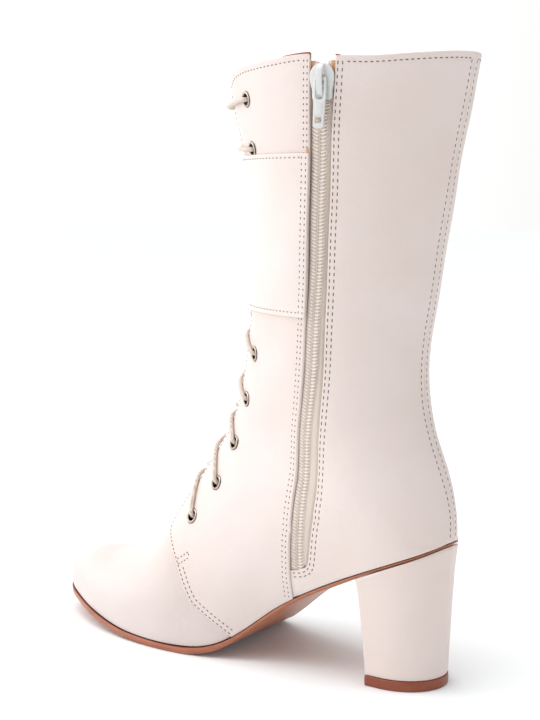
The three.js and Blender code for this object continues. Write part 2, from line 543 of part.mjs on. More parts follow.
function flip(g) {
  const c = g.clone(), idx = Array.from(c.index.array);
  for (let i = 0; i < idx.length; i += 3) [idx[i + 1], idx[i + 2]] = [idx[i + 2], idx[i + 1]];
  c.setIndex(idx);
  return c;
}
// cord from one place of the surface to another, over the facings and across the gap
function strand(from, to, steps = 7) {
  const half = (z) => lookup(THROAT_COLUMNS, THROAT, 'half', 'z', z);
  const pts = range(0, 1, steps).map((f) => {
    const s = from[0] + (to[0] - from[0]) * f, t = from[1] + (to[1] - from[1]) * f;
    const p = surface(s, t), mid = lookup(THROAT_COLUMNS, THROAT, 'mid', 'z', p.z);
    const k = Math.min(Math.max((Math.abs(p.y - mid) / half(p.z) - 0.3) / 1.0, 0), 1), e = k * k * (3 - 2 * k);
    const rise = f === 0 || f === 1 ? 2.8 : 2.45;
    return offset(s, t, 0.5 + (rise - 0.5) * e);
  });
  const curve = new THREE.CatmullRomCurve3(pts, false, 'centripetal');
  const shape = new THREE.Shape();
  for (let i = 0; i < 6; i++) { const al = (i / 6) * 2 * Math.PI; i ? shape.lineTo(LACE_R * Math.cos(al), LACE_R * Math.sin(al)) : shape.moveTo(LACE_R, 0); }
  return solid(new THREE.ExtrudeGeometry(shape, { steps, bevelEnabled: false, extrudePath: curve }));
}
function lace(pairs) {
  let body = null;
  for (const [a, b] of pairs) { const g = strand(a, b); body = body ? body.add(g) : g; }
  return geometryOf(body);
}
const mirror = ([s, t]) => [s, -t];

// ---------------------------------------------------------------- assembly
const leather = (name, geometry, color, roughness = 0.5, metalness = 0) => {
  const g = geometry.index ? geometry.toNonIndexed() : geometry;
  g.computeVertexNormals();
  const mesh = new THREE.Mesh(g, new THREE.MeshStandardMaterial({ color, roughness, metalness }));
  mesh.name = name;
  return mesh;
};
const boot = new THREE.Group();
boot.name = 'boot';
const CREAM = 0xe9ddd4, TAN = 0x9a6450, RED_TAN = 0x81452a;

boot.add(leather('upper', upperGeometry(), CREAM));
boot.add(leather('tongue', tongueGeometry(), CREAM));
boot.add(leather('outsole', soleSlab(soleRows, soleOut, (s) => column.bz(s) - GAP, soleBottom), TAN, 0.55));
const insoleRows = footRows.filter((s) => s >= 1 && s < 15.6);
boot.add(leather('insole', soleSlab(insoleRows, -WALL - 1.4, (s) => column.bz(s) + INSOLE_T, (s) => column.bz(s) + 0.05), 0xd9c6b4, 0.7));
boot.add(leather('heel', heelGeometry(), CREAM));
boot.add(leather('heel_top_piece', topPieceGeometry(), RED_TAN, 0.5));
boot.add(leather('front_band', bandGeometry(), CREAM));
boot.add(leather('zip_tape_front', strip((z) => zipX('coil')(z) + split(z), (z) => zipX('front')(z) + TAPE.under, tapeZ, TAPE.near, TAPE.far), 0xe6d8ca, 0.85));
boot.add(leather('zip_tape_back', strip((z) => zipX('back')(z) - TAPE.under, (z) => zipX('coil')(z) - split(z), tapeZ, TAPE.near, TAPE.far), 0xe6d8ca, 0.85));
boot.add(leather('zip_chain', strip((z) => zipX('coil')(z) - CHAIN.half, (z) => zipX('coil')(z) + CHAIN.half, chainZ, CHAIN.near, CHAIN.far, 2), 0xe4d8cc, 0.6));
boot.add(leather('zip_slider', sliderGeometry(), 0xf0f0ee, 0.35, 0.2));

const pull = leather('zip_pull', pullGeometry(), 0xf2f2f0, 0.35, 0.2);
const hinge = new THREE.Group();
hinge.position.copy(sliderFrame.O.clone().addScaledVector(sliderFrame.n, PIN.height));
// it hangs straight down from the bar
const down = Z.clone().addScaledVector(sliderFrame.h, -Z.dot(sliderFrame.h)).normalize();
hinge.quaternion.setFromRotationMatrix(new THREE.Matrix4().makeBasis(sliderFrame.h, down, new THREE.Vector3().crossVectors(sliderFrame.h, down)));
hinge.add(pull);
boot.add(hinge);

for (const [i, p] of eyeletPlaces.entries()) {
  boot.add(leather(`eyelet_m${i + 1}`, eyeletGeometry(p[0], p[1]), 0x8f8478, 0.35, 0.85));
  boot.add(leather(`eyelet_l${i + 1}`, eyeletGeometry(p[0], -p[1]), 0x8f8478, 0.35, 0.85));
}

const E = eyeletPlaces, lowerPairs = [];
for (let k = 6; k > 2; k--) lowerPairs.push([E[k], mirror(E[k - 1])], [mirror(E[k]), E[k - 1]]);
for (const i of [0, 1]) boot.add(leather(`lace_bar_${i + 1}`, lace([[E[i], mirror(E[i])]]), 0xe8dcd0, 0.8));
boot.add(leather('lace_lower', lace(lowerPairs), 0xe8dcd0, 0.8));

export default boot;
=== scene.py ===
import bpy
import json
import math
import numpy as np
from mathutils import Matrix, Vector
from mathutils.geometry import delaunay_2d_cdt
from mathutils.kdtree import KDTree


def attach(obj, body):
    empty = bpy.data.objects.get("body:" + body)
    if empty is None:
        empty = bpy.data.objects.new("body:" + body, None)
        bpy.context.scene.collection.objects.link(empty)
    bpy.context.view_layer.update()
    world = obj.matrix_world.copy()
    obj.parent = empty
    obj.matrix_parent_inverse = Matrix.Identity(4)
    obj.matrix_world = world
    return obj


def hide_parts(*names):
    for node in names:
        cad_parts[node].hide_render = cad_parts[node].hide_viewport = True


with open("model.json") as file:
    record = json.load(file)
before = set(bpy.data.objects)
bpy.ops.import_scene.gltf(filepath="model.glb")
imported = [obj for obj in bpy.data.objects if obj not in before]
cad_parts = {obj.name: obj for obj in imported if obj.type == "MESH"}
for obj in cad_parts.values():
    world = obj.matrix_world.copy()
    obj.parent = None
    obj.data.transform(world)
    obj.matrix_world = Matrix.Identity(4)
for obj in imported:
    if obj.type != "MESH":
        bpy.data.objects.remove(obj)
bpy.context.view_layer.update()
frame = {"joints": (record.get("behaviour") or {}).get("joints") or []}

MM = 0.001
HEEL_ROW = 16

# ------------------------------------------------------------------ sections of the last (mm)
# bx bz ym yl rx rz wm wl um ka kb yr yb
ROWS = np.array([
    [227.6, 14.6, 0, 0, 228.8, 21.5, 0, 0, 0.35, 0, 0, 1, 1],
    [226.4, 14.7, 5, 5, 227.6, 26.2, 5.6, 5.6, 0.35, 0, -0.05, 1, 1],
    [223.0, 14.3, 10, 9.8, 224.4, 30.6, 10.8, 10.6, 0.35, 0, -0.1, 1, 1],
    [216.6, 13.4, 15.2, 14.8, 218.2, 34.6, 16.3, 15.8, 0.34, 0, -0.1, 1, 1],
    [208.4, 12.1, 20, 19.4, 209.6, 37.4, 21.4, 20.8, 0.33, 0, -0.1, 1.2, 1],
    [198.5, 10.5, 25.2, 24.4, 198.6, 39.3, 26.8, 26, 0.32, 0, -0.08, 1.5, 1],
    [184.0, 8.1, 31, 30.4, 184.0, 41.1, 32.7, 32.2, 0.31, 0, -0.03, 2, 1],
    [164.0, 5.2, 36, 37, 167.1, 46.5, 37.6, 38.8, 0.3, 0, 0.06, 3, 1],
    [142.0, 4.0, 38.3, 41.8, 151.9, 56.0, 39.8, 43.4, 0.29, 0, 0.16, 4, 1],
    [119.0, 4.0, 37.3, 42.6, 142.6, 70.4, 38.8, 44.4, 0.29, 0, 0.19, 4.5, 1],
    [95.0, 10.2, 31.0, 36.4, 134.2, 83.6, 34.6, 41.8, 0.3, 0, 0.2, 4.5, 1],
    [68.0, 30.0, 23.4, 28.6, 125.6, 95.3, 31, 37.8, 0.33, 0, 0.2, 4, 1.4],
    [38.0, 47.2, 24.8, 26.6, 118.8, 106.4, 30.4, 34.6, 0.34, 0, 0.2, 3, 2],
    [8.0, 61.0, 26.4, 25.8, 113.6, 116.0, 30.4, 32.4, 0.34, 0, 0.21, 2, 2.6],
    [-12.0, 69.2, 19.4, 19.4, 111.0, 123.4, 30.6, 32, 0.35, 0, 0.22, 1.5, 3],
    [-19.4, 72.6, 10.4, 10.4, 109.4, 127.0, 30.8, 31.6, 0.36, 0, 0.22, 1.2, 3],
    [-22.0, 73.8, 0, 0, 108.0, 129.8, 31.2, 31.6, 0.36, 0, 0.22, 1.5, 3],
    [-21.8, 87.0, 0, 0, 106.4, 134.8, 31.6, 32, 0.38, 0.19, 0.22, 1.2, 2.8],
    [-18.2, 101.0, 0, 0, 104.3, 142.6, 32.4, 32.6, 0.4, 0.19, 0.22, 1, 2.5],
    [-10.4, 121.0, 0, 0, 101.2, 154.2, 32.6, 33.4, 0.42, 0.19, 0.22, 0.6, 2],
    [-4.2, 146.0, 0, 0, 98.6, 170.0, 33.6, 34.4, 0.43, 0.19, 0.22, 0.3, 1.4],
    [-6.0, 176.0, 0, 0, 95.6, 194.0, 36, 36.8, 0.44, 0.19, 0.2, 0, 1],
    [-11.2, 210.0, 0, 0, 94.8, 224.5, 39, 39.8, 0.45, 0.19, 0.16, 0, 0.6],
    [-16.6, 244.0, 0, 0, 98.0, 255.0, 42, 42.8, 0.46, 0.19, 0.13, 0, 0.3],
    [-23.0, 278.0, 0, 0, 106.4, 284.0, 44.6, 45.4, 0.47, 0.19, 0.1, 0, 0],
    [-30.2, 312.0, 0, 0, 112.0, 314.0, 46.6, 47.4, 0.48, 0.19, 0.08, 0, 0],
], float)
COLS = ["bx", "bz", "ym", "yl", "rx", "rz", "wm", "wl", "um", "ka", "kb", "yr", "yb"]
LAST = len(ROWS) - 1

# slit for the zip by height: front edge, coil, back edge
ZIP = np.array([
    [48, 54.4, 49.3, 44.6], [62, 53.8, 48.6, 42.8], [87, 52.2, 46.9, 38.7], [105, 50.6, 45.2, 36.9], [128, 47.7, 42.6, 34.9],
    [143, 45.8, 40.5, 34.0], [165, 43.1, 38.0, 32.3], [190, 40.6, 34.9, 29.8], [214, 38.6, 32.2, 27.8], [238, 36.5, 30.3, 25.4],
    [270, 34.3, 27.9, 23.4], [302, 33.0, 26.9, 20.5], [325, 32.1, 26.0, 18.5]])
# lacing gap by height: middle, half width
THROAT = np.array([
    [85, 4.4, 7.6], [95, 4.0, 7.6], [112, 2.8, 6.8], [135, 1.4, 6.8], [160, 0.6, 8.5], [200, 0, 12.5],
    [240, 0, 17], [262, 0, 20.5], [286, 0, 22.5], [305, 0, 24], [330, 0, 25]])
COLLAR = np.array([
    [-60, 306.5], [-30, 305.3], [-12, 303.8], [4, 302.6], [20, 303.2], [35, 304.8], [57, 303.1], [79, 301.4],
    [88, 299.4], [93, 296.8], [96.5, 293], [99, 288], [101, 282], [103, 274]])
EYELETS = np.array([[77.1, 285.6], [76.3, 261.8], [84.6, 159.2], [92.6, 134.9], [99.8, 111.3], [107.4, 90.1], [121.0, 71.1]])
SEAM = np.array([[9.78, .125], [9.33, .15], [9.08, .18], [9.22, .24], [9.52, .35], [9.65, .455], [9.86, .655], [10.03, .83], [10.14, 1.0]])
SOLE = np.array([[0, 3.7], [8, 3.7], [9.8, 3.6], [10.4, 2.7], [11, 2.0], [12, 1.7], [12.5, 1.6], [12.8, 1.3], [16, 1.3]])
BREAST_X = 17.6
TOP_PIECE_T = 5.2


# ------------------------------------------------------------------ curves
def spline(y, level=False):
    y = np.asarray(y, float)
    n = len(y)
    A = np.zeros((n, n))
    r = np.zeros(n)
    for i in range(1, n - 1):
        A[i, i - 1], A[i, i], A[i, i + 1] = 1, 4, 1
        r[i] = 3 * (y[i + 1] - y[i - 1])
    if level:
        A[0, 0] = 1
    else:
        A[0, 0], A[0, 1], r[0] = 2, 1, 3 * (y[1] - y[0])
    A[-1, -1], A[-1, -2], r[-1] = 2, 1, 3 * (y[-1] - y[-2])
    m = np.linalg.solve(A, r)

    def f(s):
        s = np.clip(np.asarray(s, float), 0, n - 1)
        i = np.minimum(s.astype(int), n - 2)
        t = s - i
        return (2 * t**3 - 3 * t**2 + 1) * y[i] + (t**3 - 2 * t**2 + t) * m[i] + (-2 * t**3 + 3 * t**2) * y[i + 1] + (t**3 - t**2) * m[i + 1]
    return f


COLUMN = {}
for _i, _c in enumerate(COLS):
    if _c in ("bx", "bz", "ym", "yl"):
        _a, _b = spline(ROWS[:HEEL_ROW + 1, _i], _c in ("bx", "bz")), spline(ROWS[HEEL_ROW:, _i])
        COLUMN[_c] = (lambda a, b: (lambda q: np.where(np.asarray(q) <= HEEL_ROW, a(np.minimum(q, HEEL_ROW)), b(np.maximum(np.asarray(q, float) - HEEL_ROW, 0)))))(_a, _b)
    else:
        COLUMN[_c] = spline(ROWS[:, _i], _c == "rx")


def smooth(a, b, x):
    k = np.clip((np.asarray(x, float) - a) / (b - a), 0, 1)
    return k * k * (3 - 2 * k)


def raw(q, t):
    q, t = np.broadcast_arrays(np.asarray(q, float), np.asarray(t, float))
    g = {k: f(q) for k, f in COLUMN.items()}
    inner = t >= 0
    a = np.minimum(np.abs(t), 1)
    w = np.maximum(np.where(inner, g["wm"], g["wl"]), 1e-6)
    y0 = np.minimum(np.maximum(np.where(inner, g["ym"], g["yl"]), 0), w * 0.985)
    S = lambda al, k: (1 - k) * np.sin(al) + k * np.sin(al)**2
    C = lambda al, k: (1 - k) * np.cos(al) + k * np.cos(al)**2
    ah = np.clip(a * 2, 0, 1) * np.pi / 2
    uu, yu = g["um"] + (1 - g["um"]) * C(ah, g["kb"]), w * S(ah, g["kb"])
    k = np.where(np.abs(g["ka"]) < 1e-4, 1e-4, g["ka"])
    x0 = (-(1 - k) + np.sqrt((1 - k)**2 + 4 * k * y0 / w)) / (2 * k)
    a0 = np.arcsin(np.clip(x0, 0, 1))
    al = np.pi / 2 - np.clip(a * 2 - 1, 0, 1) * (np.pi / 2 - a0)
    ul, yl = g["um"] - g["um"] / np.maximum(C(a0, k), 1e-6) * C(al, k), w * S(al, k)
    u, y = np.where(a <= .5, uu, ul), np.where(a <= .5, yu, yl)
    mid = g["yb"] + (g["yr"] - g["yb"]) * np.clip(u, 0, 1)
    y = np.where((q <= 0) | ((a >= 1) & (q >= HEEL_ROW)), 0, y)
    return np.stack([g["bx"] + (g["rx"] - g["bx"]) * u, mid + np.where(inner, y, -y), g["bz"] + (g["rz"] - g["bz"]) * u], -1)


KERNEL = [(-1.0, 1), (-0.66, 2), (-0.33, 3), (0.0, 3), (0.33, 3), (0.66, 2), (1.0, 1)]


def P(q, t):
    """Outer surface of the boot, soft where the seat's rows meet the back seam's rows."""
    q, t = np.broadcast_arrays(np.asarray(q, float), np.asarray(t, float))
    near = np.clip(1 - (np.abs(q - HEEL_ROW) / 1.9)**2, 0, 1) * np.clip((1 - np.abs(t)) / 0.06, 0, 1)
    p = raw(q, t)
    m = near > 1e-3
    if m.any():
        qq, tt, d = q[m], t[m], near[m] * 1.0
        p = p.copy()
        p[m] = sum(w * raw(qq + k * d, tt) for k, w in KERNEL) / sum(w for _, w in KERNEL)
    return p


def N(q, t, h=2e-3):
    q, t = np.broadcast_arrays(np.asarray(q, float), np.asarray(t, float))
    tt = np.clip(t, -1 + h, 1 - h)
    pq = P(np.minimum(q + h, LAST), tt) - P(np.maximum(q - h, 0), tt)
    pt = P(q, tt + h) - P(q, tt - h)
    n = np.cross(pt, pq)
    n = n / np.maximum(np.linalg.norm(n, axis=-1, keepdims=True), 1e-12)
    toe = q <= 1e-6
    if toe.any():
        a = np.abs(t[toe])
        d = raw(0, np.minimum(a + h, 1)) - raw(0, np.maximum(a - h, 0))
        v = np.stack([-d[..., 2], 0 * d[..., 2], d[..., 0]], -1)
        n[toe] = v / np.linalg.norm(v, axis=-1, keepdims=True)
    back = (np.abs(t) >= 1 - 1e-9) & (q >= HEEL_ROW)
    if back.any():
        qq = q[back]
        d = raw(np.minimum(qq + h, LAST), 1) - raw(np.maximum(qq - h, HEEL_ROW), 1)
        v = np.stack([-d[..., 2], 0 * d[..., 2], d[..., 0]], -1)
        n[back] = v / np.linalg.norm(v, axis=-1, keepdims=True)
    return n


# soft hollows and rises, listed one by one: centre (x, y, z), direction, length, width, depth in mm
CREASES = [
    ((74, 26, 118), (0.72, 0.0, 0.42), 34, 9, -0.55),
    ((70, 27, 131), (0.80, 0.0, 0.30), 30, 8, 0.38),
    ((80, 24, 103), (0.74, 0.0, 0.48), 26, 8, -0.42),
    ((74, -27, 118), (0.72, 0.0, 0.42), 34, 9, -0.55),
    ((70, -28, 131), (0.80, 0.0, 0.30), 30, 8, 0.38),
    ((6, 24, 128), (0.9, 0.0, -0.12), 24, 9, -0.45),
    ((8, 24, 143), (0.9, 0.0, -0.05), 24, 9, 0.32),
    ((6, -25, 128), (0.9, 0.0, -0.12), 24, 9, -0.45),
    ((8, -25, 143), (0.9, 0.0, -0.05), 24, 9, 0.32),
    ((158, 22, 44), (-0.2, 0.9, -0.3), 20, 7, -0.25),
    ((158, -20, 44), (-0.2, -0.9, -0.3), 20, 7, -0.25),
    ((12, 33, 205), (0.1, 0.0, 1.0), 48, 11, -0.35),
    ((66, 33, 222), (0.1, 0.0, 1.0), 40, 12, -0.30),
    ((12, -34, 205), (0.1, 0.0, 1.0), 48, 11, -0.35),
]


def softness(p):
    x, y, z = p[..., 0], p[..., 1], p[..., 2]
    w = 0.16 * np.sin(x / 9.1 + z / 15.0 + 0.6) * np.sin(z / 12.3 - y / 17.0) + 0.12 * np.sin(x / 14.0 - z / 7.7 + y / 21.0 + 2.1) + 0.07 * np.sin(x / 5.3 + y / 6.1 + z / 8.9)
    for c, d, ln, wd, dep in CREASES:
        c, d = np.array(c, float), np.array(d, float)
        d /= np.linalg.norm(d)
        v = p - c
        a = v @ d
        r2 = (v**2).sum(-1) - a**2
        # a slight bend along the crease
        w = w + dep * np.exp(-(a / ln)**2) * np.exp(-np.maximum(r2, 0) / wd**2)
    return w


def S(q, t, h=0.0):
    """Point at height h (mm, outwards) over the surface."""
    p, n = P(q, t), N(q, t)
    return p + n * (np.asarray(h, float) + softness(p))[..., None]


_gq, _gt = np.meshgrid(np.linspace(0, LAST, 251), np.linspace(-1, 1, 161), indexing="ij")
_gp = P(_gq, _gt)


def find(target, axes, side=1, qmin=8.0):
    """(q, t) of the surface points with those two coordinates, on one side."""
    target = np.atleast_2d(np.asarray(target, float))
    ok = (_gq >= qmin) & ((_gt * side > 0.01) if side else (np.abs(_gt) < 0.7)) & (np.abs(_gt) < .995)
    q0, t0, p0 = _gq[ok], _gt[ok], _gp[ok][:, list(axes)]
    q, t = [], []
    for e in target:
        i = ((p0 - e)**2).sum(1).argmin()
        q.append(q0[i]); t.append(t0[i])
    q, t = np.array(q), np.array(t)
    for _ in range(14):
        h = 1e-3
        p = P(q, t)[:, list(axes)]
        a = (P(q + h, t)[:, list(axes)] - p) / h
        b = (P(q, t + h)[:, list(axes)] - p) / h
        e = target - p
        det = a[:, 0] * b[:, 1] - a[:, 1] * b[:, 0]
        det = np.where(np.abs(det) < 1e-6, 1e-6, det)
        q = np.clip(q + np.clip((b[:, 1] * e[:, 0] - b[:, 0] * e[:, 1]) / det, -.7, .7), 0.05, LAST - 0.01)
        t = np.clip(t + np.clip((-a[:, 1] * e[:, 0] + a[:, 0] * e[:, 1]) / det, -.08, .08), -0.997, 0.997)
    return np.stack([q, t], 1)


def at_height(z, t):
    """q of the point at height z on the line of side place t, above the instep."""
    z, t = np.broadcast_arrays(np.asarray(z, float), np.asarray(t, float))
    lo, hi = np.full(z.shape, 9.0), np.full(z.shape, float(LAST))
    for _ in range(34):
        m = (lo + hi) / 2
        up = P(m, t)[..., 2] < z
        lo, hi = np.where(up, m, lo), np.where(up, hi, m)
    return (lo + hi) / 2


def resample(c, step=1.0, closed=False):
    """Evenly spaced (q, t) points along a polyline, by its length on the surface."""
    c = np.asarray(c, float)
    d = np.concatenate([np.linspace(c[i], c[i + 1], 9)[:-1] for i in range(len(c) - 1)] + [c[-1:]])
    p = P(d[:, 0], d[:, 1])
    L = np.r_[0, np.cumsum(np.linalg.norm(np.diff(p, axis=0), axis=1))]
    n = max(2, int(round(L[-1] / step)) + 1)
    s = np.linspace(0, L[-1], n)
    return np.stack([np.interp(s, L, d[:, 0]), np.interp(s, L, d[:, 1])], 1)


def soften_line(c, times=2):
    c = np.array(c, float)
    for _ in range(times):
        c[1:-1] = (c[:-2] + 2 * c[1:-1] + c[2:]) / 4
    return c


def cross(c1, c2):
    """First crossing of two polylines in (q, t): c1 up to it, and c2 from it on."""
    for i in range(len(c1) - 1):
        a, b = c1[i], c1[i + 1]
        for j in range(len(c2) - 1):
            c, d = c2[j], c2[j + 1]
            r, s = b - a, d - c
            den = r[0] * s[1] - r[1] * s[0]
            if abs(den) < 1e-14:
                continue
            u = ((c - a)[0] * s[1] - (c - a)[1] * s[0]) / den
            v = ((c - a)[0] * r[1] - (c - a)[1] * r[0]) / den
            if -1e-9 <= u <= 1 and -1e-9 <= v <= 1:
                x = a + u * r
                return np.vstack([c1[:i + 1], x]), np.vstack([x, c2[j + 1:]])
    raise ValueError("the lines don't cross")


def inset(c, d, closed=False):
    """Polyline moved sideways on the surface by d mm, to the left of its direction seen from outside."""
    c = np.asarray(c, float)
    p = P(c[:, 0], c[:, 1])
    if closed:
        tan = np.roll(p, -1, 0) - np.roll(p, 1, 0)
    else:
        tan = np.gradient(p, axis=0)
    n = N(c[:, 0], c[:, 1])
    side = np.cross(n, tan)
    side /= np.maximum(np.linalg.norm(side, axis=1, keepdims=True), 1e-9)
    return shift(c, side * np.asarray(d, float).reshape(-1, 1) if np.ndim(d) else side * d)


def shift(c, v):
    """Moves (q, t) points by 3-D steps v along the surface."""
    q, t = c[:, 0].copy(), c[:, 1].copy()
    start = P(q, t)
    goal = start + v
    for _ in range(4):
        h = 1e-3
        hq = np.where(q > LAST - 0.01, -h, h)
        ht = np.where(t > 0.5, -h, h)
        p = P(q, t)
        a, b = (P(q + hq, t) - p) / hq[:, None], (P(q, t + ht) - p) / ht[:, None]
        e = goal - p
        aa, ab, bb = (a * a).sum(1), (a * b).sum(1), (b * b).sum(1)
        ea, eb = (e * a).sum(1), (e * b).sum(1)
        det = np.maximum(aa * bb - ab * ab, 1e-9)
        q = q + np.clip((bb * ea - ab * eb) / det, -.5, .5)
        t = t + np.clip((-ab * ea + aa * eb) / det, -.06, .06)
        q, t = np.clip(q, 0, LAST), np.clip(t, -1, 1)
    return np.stack([q, t], 1)


# even spacing for the grids
_qs = np.linspace(0, LAST, 2001)
_dq = np.linalg.norm(np.diff(P(_qs, 0.42), axis=0), axis=1) * .5 + np.linalg.norm(np.diff(P(_qs, -0.15), axis=0), axis=1) * .5
_QL = np.r_[0, np.cumsum(_dq)]
T_LEN = 105.0


def to_plane(c, cell):
    c = np.asarray(c, float)
    return np.stack([np.interp(c[..., 0], _qs, _QL) / cell, c[..., 1] * T_LEN / cell], -1)


def from_plane(g, cell):
    return np.stack([np.interp(g[..., 0] * cell, _QL, _qs), g[..., 1] * cell / T_LEN], -1)


def inside(points, poly):
    x, y = points[:, 0], points[:, 1]
    r = np.zeros(len(points), bool)
    px, py = poly[:, 0], poly[:, 1]
    qx, qy = np.roll(px, -1), np.roll(py, -1)
    for i in range(len(poly)):
        if py[i] == qy[i]:
            continue
        c = ((py[i] > y) != (qy[i] > y)) & (x < (qx[i] - px[i]) * (y - py[i]) / (qy[i] - py[i]) + px[i])
        r ^= c
    return r


def tree(points):
    k = KDTree(len(points))
    for i, p in enumerate(points):
        k.insert(p, i)
    k.balance()
    return k


def distance(points, k):
    return np.array([k.find(p)[2] for p in points])


# ------------------------------------------------------------------ meshes
def new_object(name, verts_mm, faces, node=None, body="body", smooth_shade=True, materials=(), face_material=None, uv=None):
    me = bpy.data.meshes.new(name)
    v = np.asarray(verts_mm, float) * MM
    me.from_pydata(v.tolist(), [], [list(map(int, f)) for f in faces])
    me.validate(clean_customdata=False)
    me.update()
    for m in materials:
        me.materials.append(m)
    if face_material is not None and len(face_material) == len(me.polygons):
        me.polygons.foreach_set("material_index", np.asarray(face_material, np.int32))
    if smooth_shade:
        me.polygons.foreach_set("use_smooth", np.ones(len(me.polygons), bool))
    o = bpy.data.objects.new(name, me)
    bpy.context.scene.collection.objects.link(o)
    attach(o, body)
    if node:
        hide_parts(*([node] if isinstance(node, str) else node))
    return o


def merge(verts, faces, mats=None, tol=1e-3):
    """Joins vertices at one place and drops faces that closed up."""
    verts = np.asarray(verts, float)
    key = np.round(verts / tol).astype(np.int64)
    _, first, inv = np.unique(key, axis=0, return_index=True, return_inverse=True)
    inv = inv.reshape(-1)
    out, om = [], []
    for i, f in enumerate(faces):
        g = [int(inv[k]) for k in f]
        r = [g[k] for k in range(len(g)) if g[k] != g[k - 1]]
        if len(set(r)) == len(r) and len(r) >= 3:
            out.append(r)
            if mats is not None:
                om.append(mats[i])
    return verts[first], out, om


STITCH_ROWS = []        # (points on the surface, height, pitch)


def panel(name, segments, outer, inner, node=None, cell=1.9, rounding=0.55, holes=(), materials=(), grooves=None, edge_rings=(0.14, 0.34, 0.62, 1.0, 1.45, 2.0, 2.7, 3.4, 4.1), wall_material=1, lining_material=2, fine=1.0):
    """Leather piece on the boot's surface. segments: [(points (q, t), is_edge)], going round.
    outer(q, t) and inner(q, t) give its two heights.  Edges are rounded; the rest joins on to itself."""
    loop, edge = [], []
    for pts, is_edge in segments:
        r = resample(pts, fine)
        loop.append(r[:-1])
        edge += [is_edge] * (len(r) - 1)
    loop, edge = np.vstack(loop), np.array(edge)
    g = to_plane(loop, cell)
    area = 0.5 * (g[:, 0] * np.roll(g[:, 1], -1) - np.roll(g[:, 0], -1) * g[:, 1]).sum()
    loops = [(loop, edge)]
    p3 = P(loop[:, 0], loop[:, 1])
    for hq in holes:
        loops.append((hq, np.ones(len(hq), bool)))
    is_edge_vertex = edge | np.roll(edge, 1)
    k_edge = tree(P(*loop[is_edge_vertex].T)) if is_edge_vertex.any() else None
    k_loop = tree(p3)
    # points alongside the edges
    extra = []
    sgn = None
    for d in edge_rings:
        for s in ([sgn] if sgn else [1, -1]):
            c = inset(loop, s * d, closed=True)
            gi = to_plane(c, cell)
            ok = inside(gi, g) & is_edge_vertex
            if sgn is None:
                if ok.sum() < is_edge_vertex.sum() * 0.5:
                    continue
                sgn = s
            pc = P(*c.T)
            ok[ok] = distance(pc[ok], k_loop) > d * 0.93
            if d > 0.5:
                step = 1
                keep = np.zeros(len(ok), bool)
                keep[::step] = True
                ok &= keep
            extra.append(c[ok])
            break
    extra = np.vstack(extra) if extra else np.zeros((0, 2))
    # even grid inside
    lo, hi = g.min(0), g.max(0)
    ii, jj = np.meshgrid(np.arange(math.ceil(lo[0]), hi[0]), np.arange(math.ceil(lo[1]), hi[1]), indexing="ij")
    lat = np.stack([ii.ravel(), jj.ravel()], 1).astype(float)
    lat = lat[inside(lat, g)]
    cl = from_plane(lat, cell)
    pl = P(*cl.T)
    reach = edge_rings[-1] if len(edge_rings) else 0
    far = distance(pl, k_loop) > 0.5 * cell
    if k_edge is not None and reach:
        far &= distance(pl, k_edge) > reach + 0.45 * cell
    cl = cl[far]
    hole_tree = None
    if holes:
        hp = np.vstack([P(*h.T) for h in holes])
        hole_tree = tree(hp)
        cl = cl[distance(P(*cl.T), hole_tree) > 0.8]
        hg = [to_plane(h, cell) for h in holes]
        keep = np.ones(len(cl), bool)
        for h in hg:
            keep &= ~inside(to_plane(cl, cell), h)
        cl = cl[keep]
        if len(extra):
            keep = distance(P(*extra.T), hole_tree) > 0.6
            for h in hg:
                keep &= ~inside(to_plane(extra, cell), h)
            extra = extra[keep]
    pts = np.vstack([l for l, _ in loops] + [extra, cl])
    G = to_plane(pts, cell)
    idx, n0 = [], 0
    for l, _ in loops:
        idx.append(list(range(n0, n0 + len(l))))
        n0 += len(l)
    edges = [(a[k], a[(k + 1) % len(a)]) for a in idx for k in range(len(a))]
    vo, _, fo, ov, _, _ = delaunay_2d_cdt([Vector(p) for p in G.tolist()], edges, [], 0, 1e-7)
    vo = np.array([tuple(v) for v in vo])
    fo = np.array([list(f) for f in fo if len(f) == 3])
    cen = vo[fo].mean(1)
    ok = inside(cen, g)
    for h in holes:
        ok &= ~inside(cen, to_plane(h, cell))
    fo = fo[ok]
    # back to the surface, with the original places where there are any
    qt = from_plane(vo, cell)
    where = {}
    for new, src in enumerate(ov):
        if len(src):
            qt[new] = pts[src[0]]
            for s_ in src:
                where[s_] = new
    q, t = qt[:, 0], qt[:, 1]
    base, nrm = P(q, t), N(q, t)
    soft = softness(base)
    ho, hi_ = outer(q, t), inner(q, t)
    if k_edge is not None and rounding > 0:
        d = distance(base, k_edge)
        r = rounding
        k = np.clip(1 - d / r, 0, 1)
        ho = ho - r * (1 - np.sqrt(np.clip(1 - k * k, 0, 1)))
    if grooves is not None:
        gk, depth, width = grooves
        d = distance(base, gk)
        ho = ho - depth * np.exp(-(d / width)**2)
    top = base + nrm * (ho + soft)[:, None]
    low = base + nrm * (hi_ + soft)[:, None]
    # outward winding
    f0 = fo[0]
    if np.cross(top[f0[1]] - top[f0[0]], top[f0[2]] - top[f0[0]]) @ nrm[f0[0]] < 0:
        fo = fo[:, ::-1]
    nv = len(top)
    faces, mats = fo.tolist(), [0] * len(fo)
    faces += (fo[:, ::-1] + nv).tolist()
    mats += [lining_material] * len(fo)
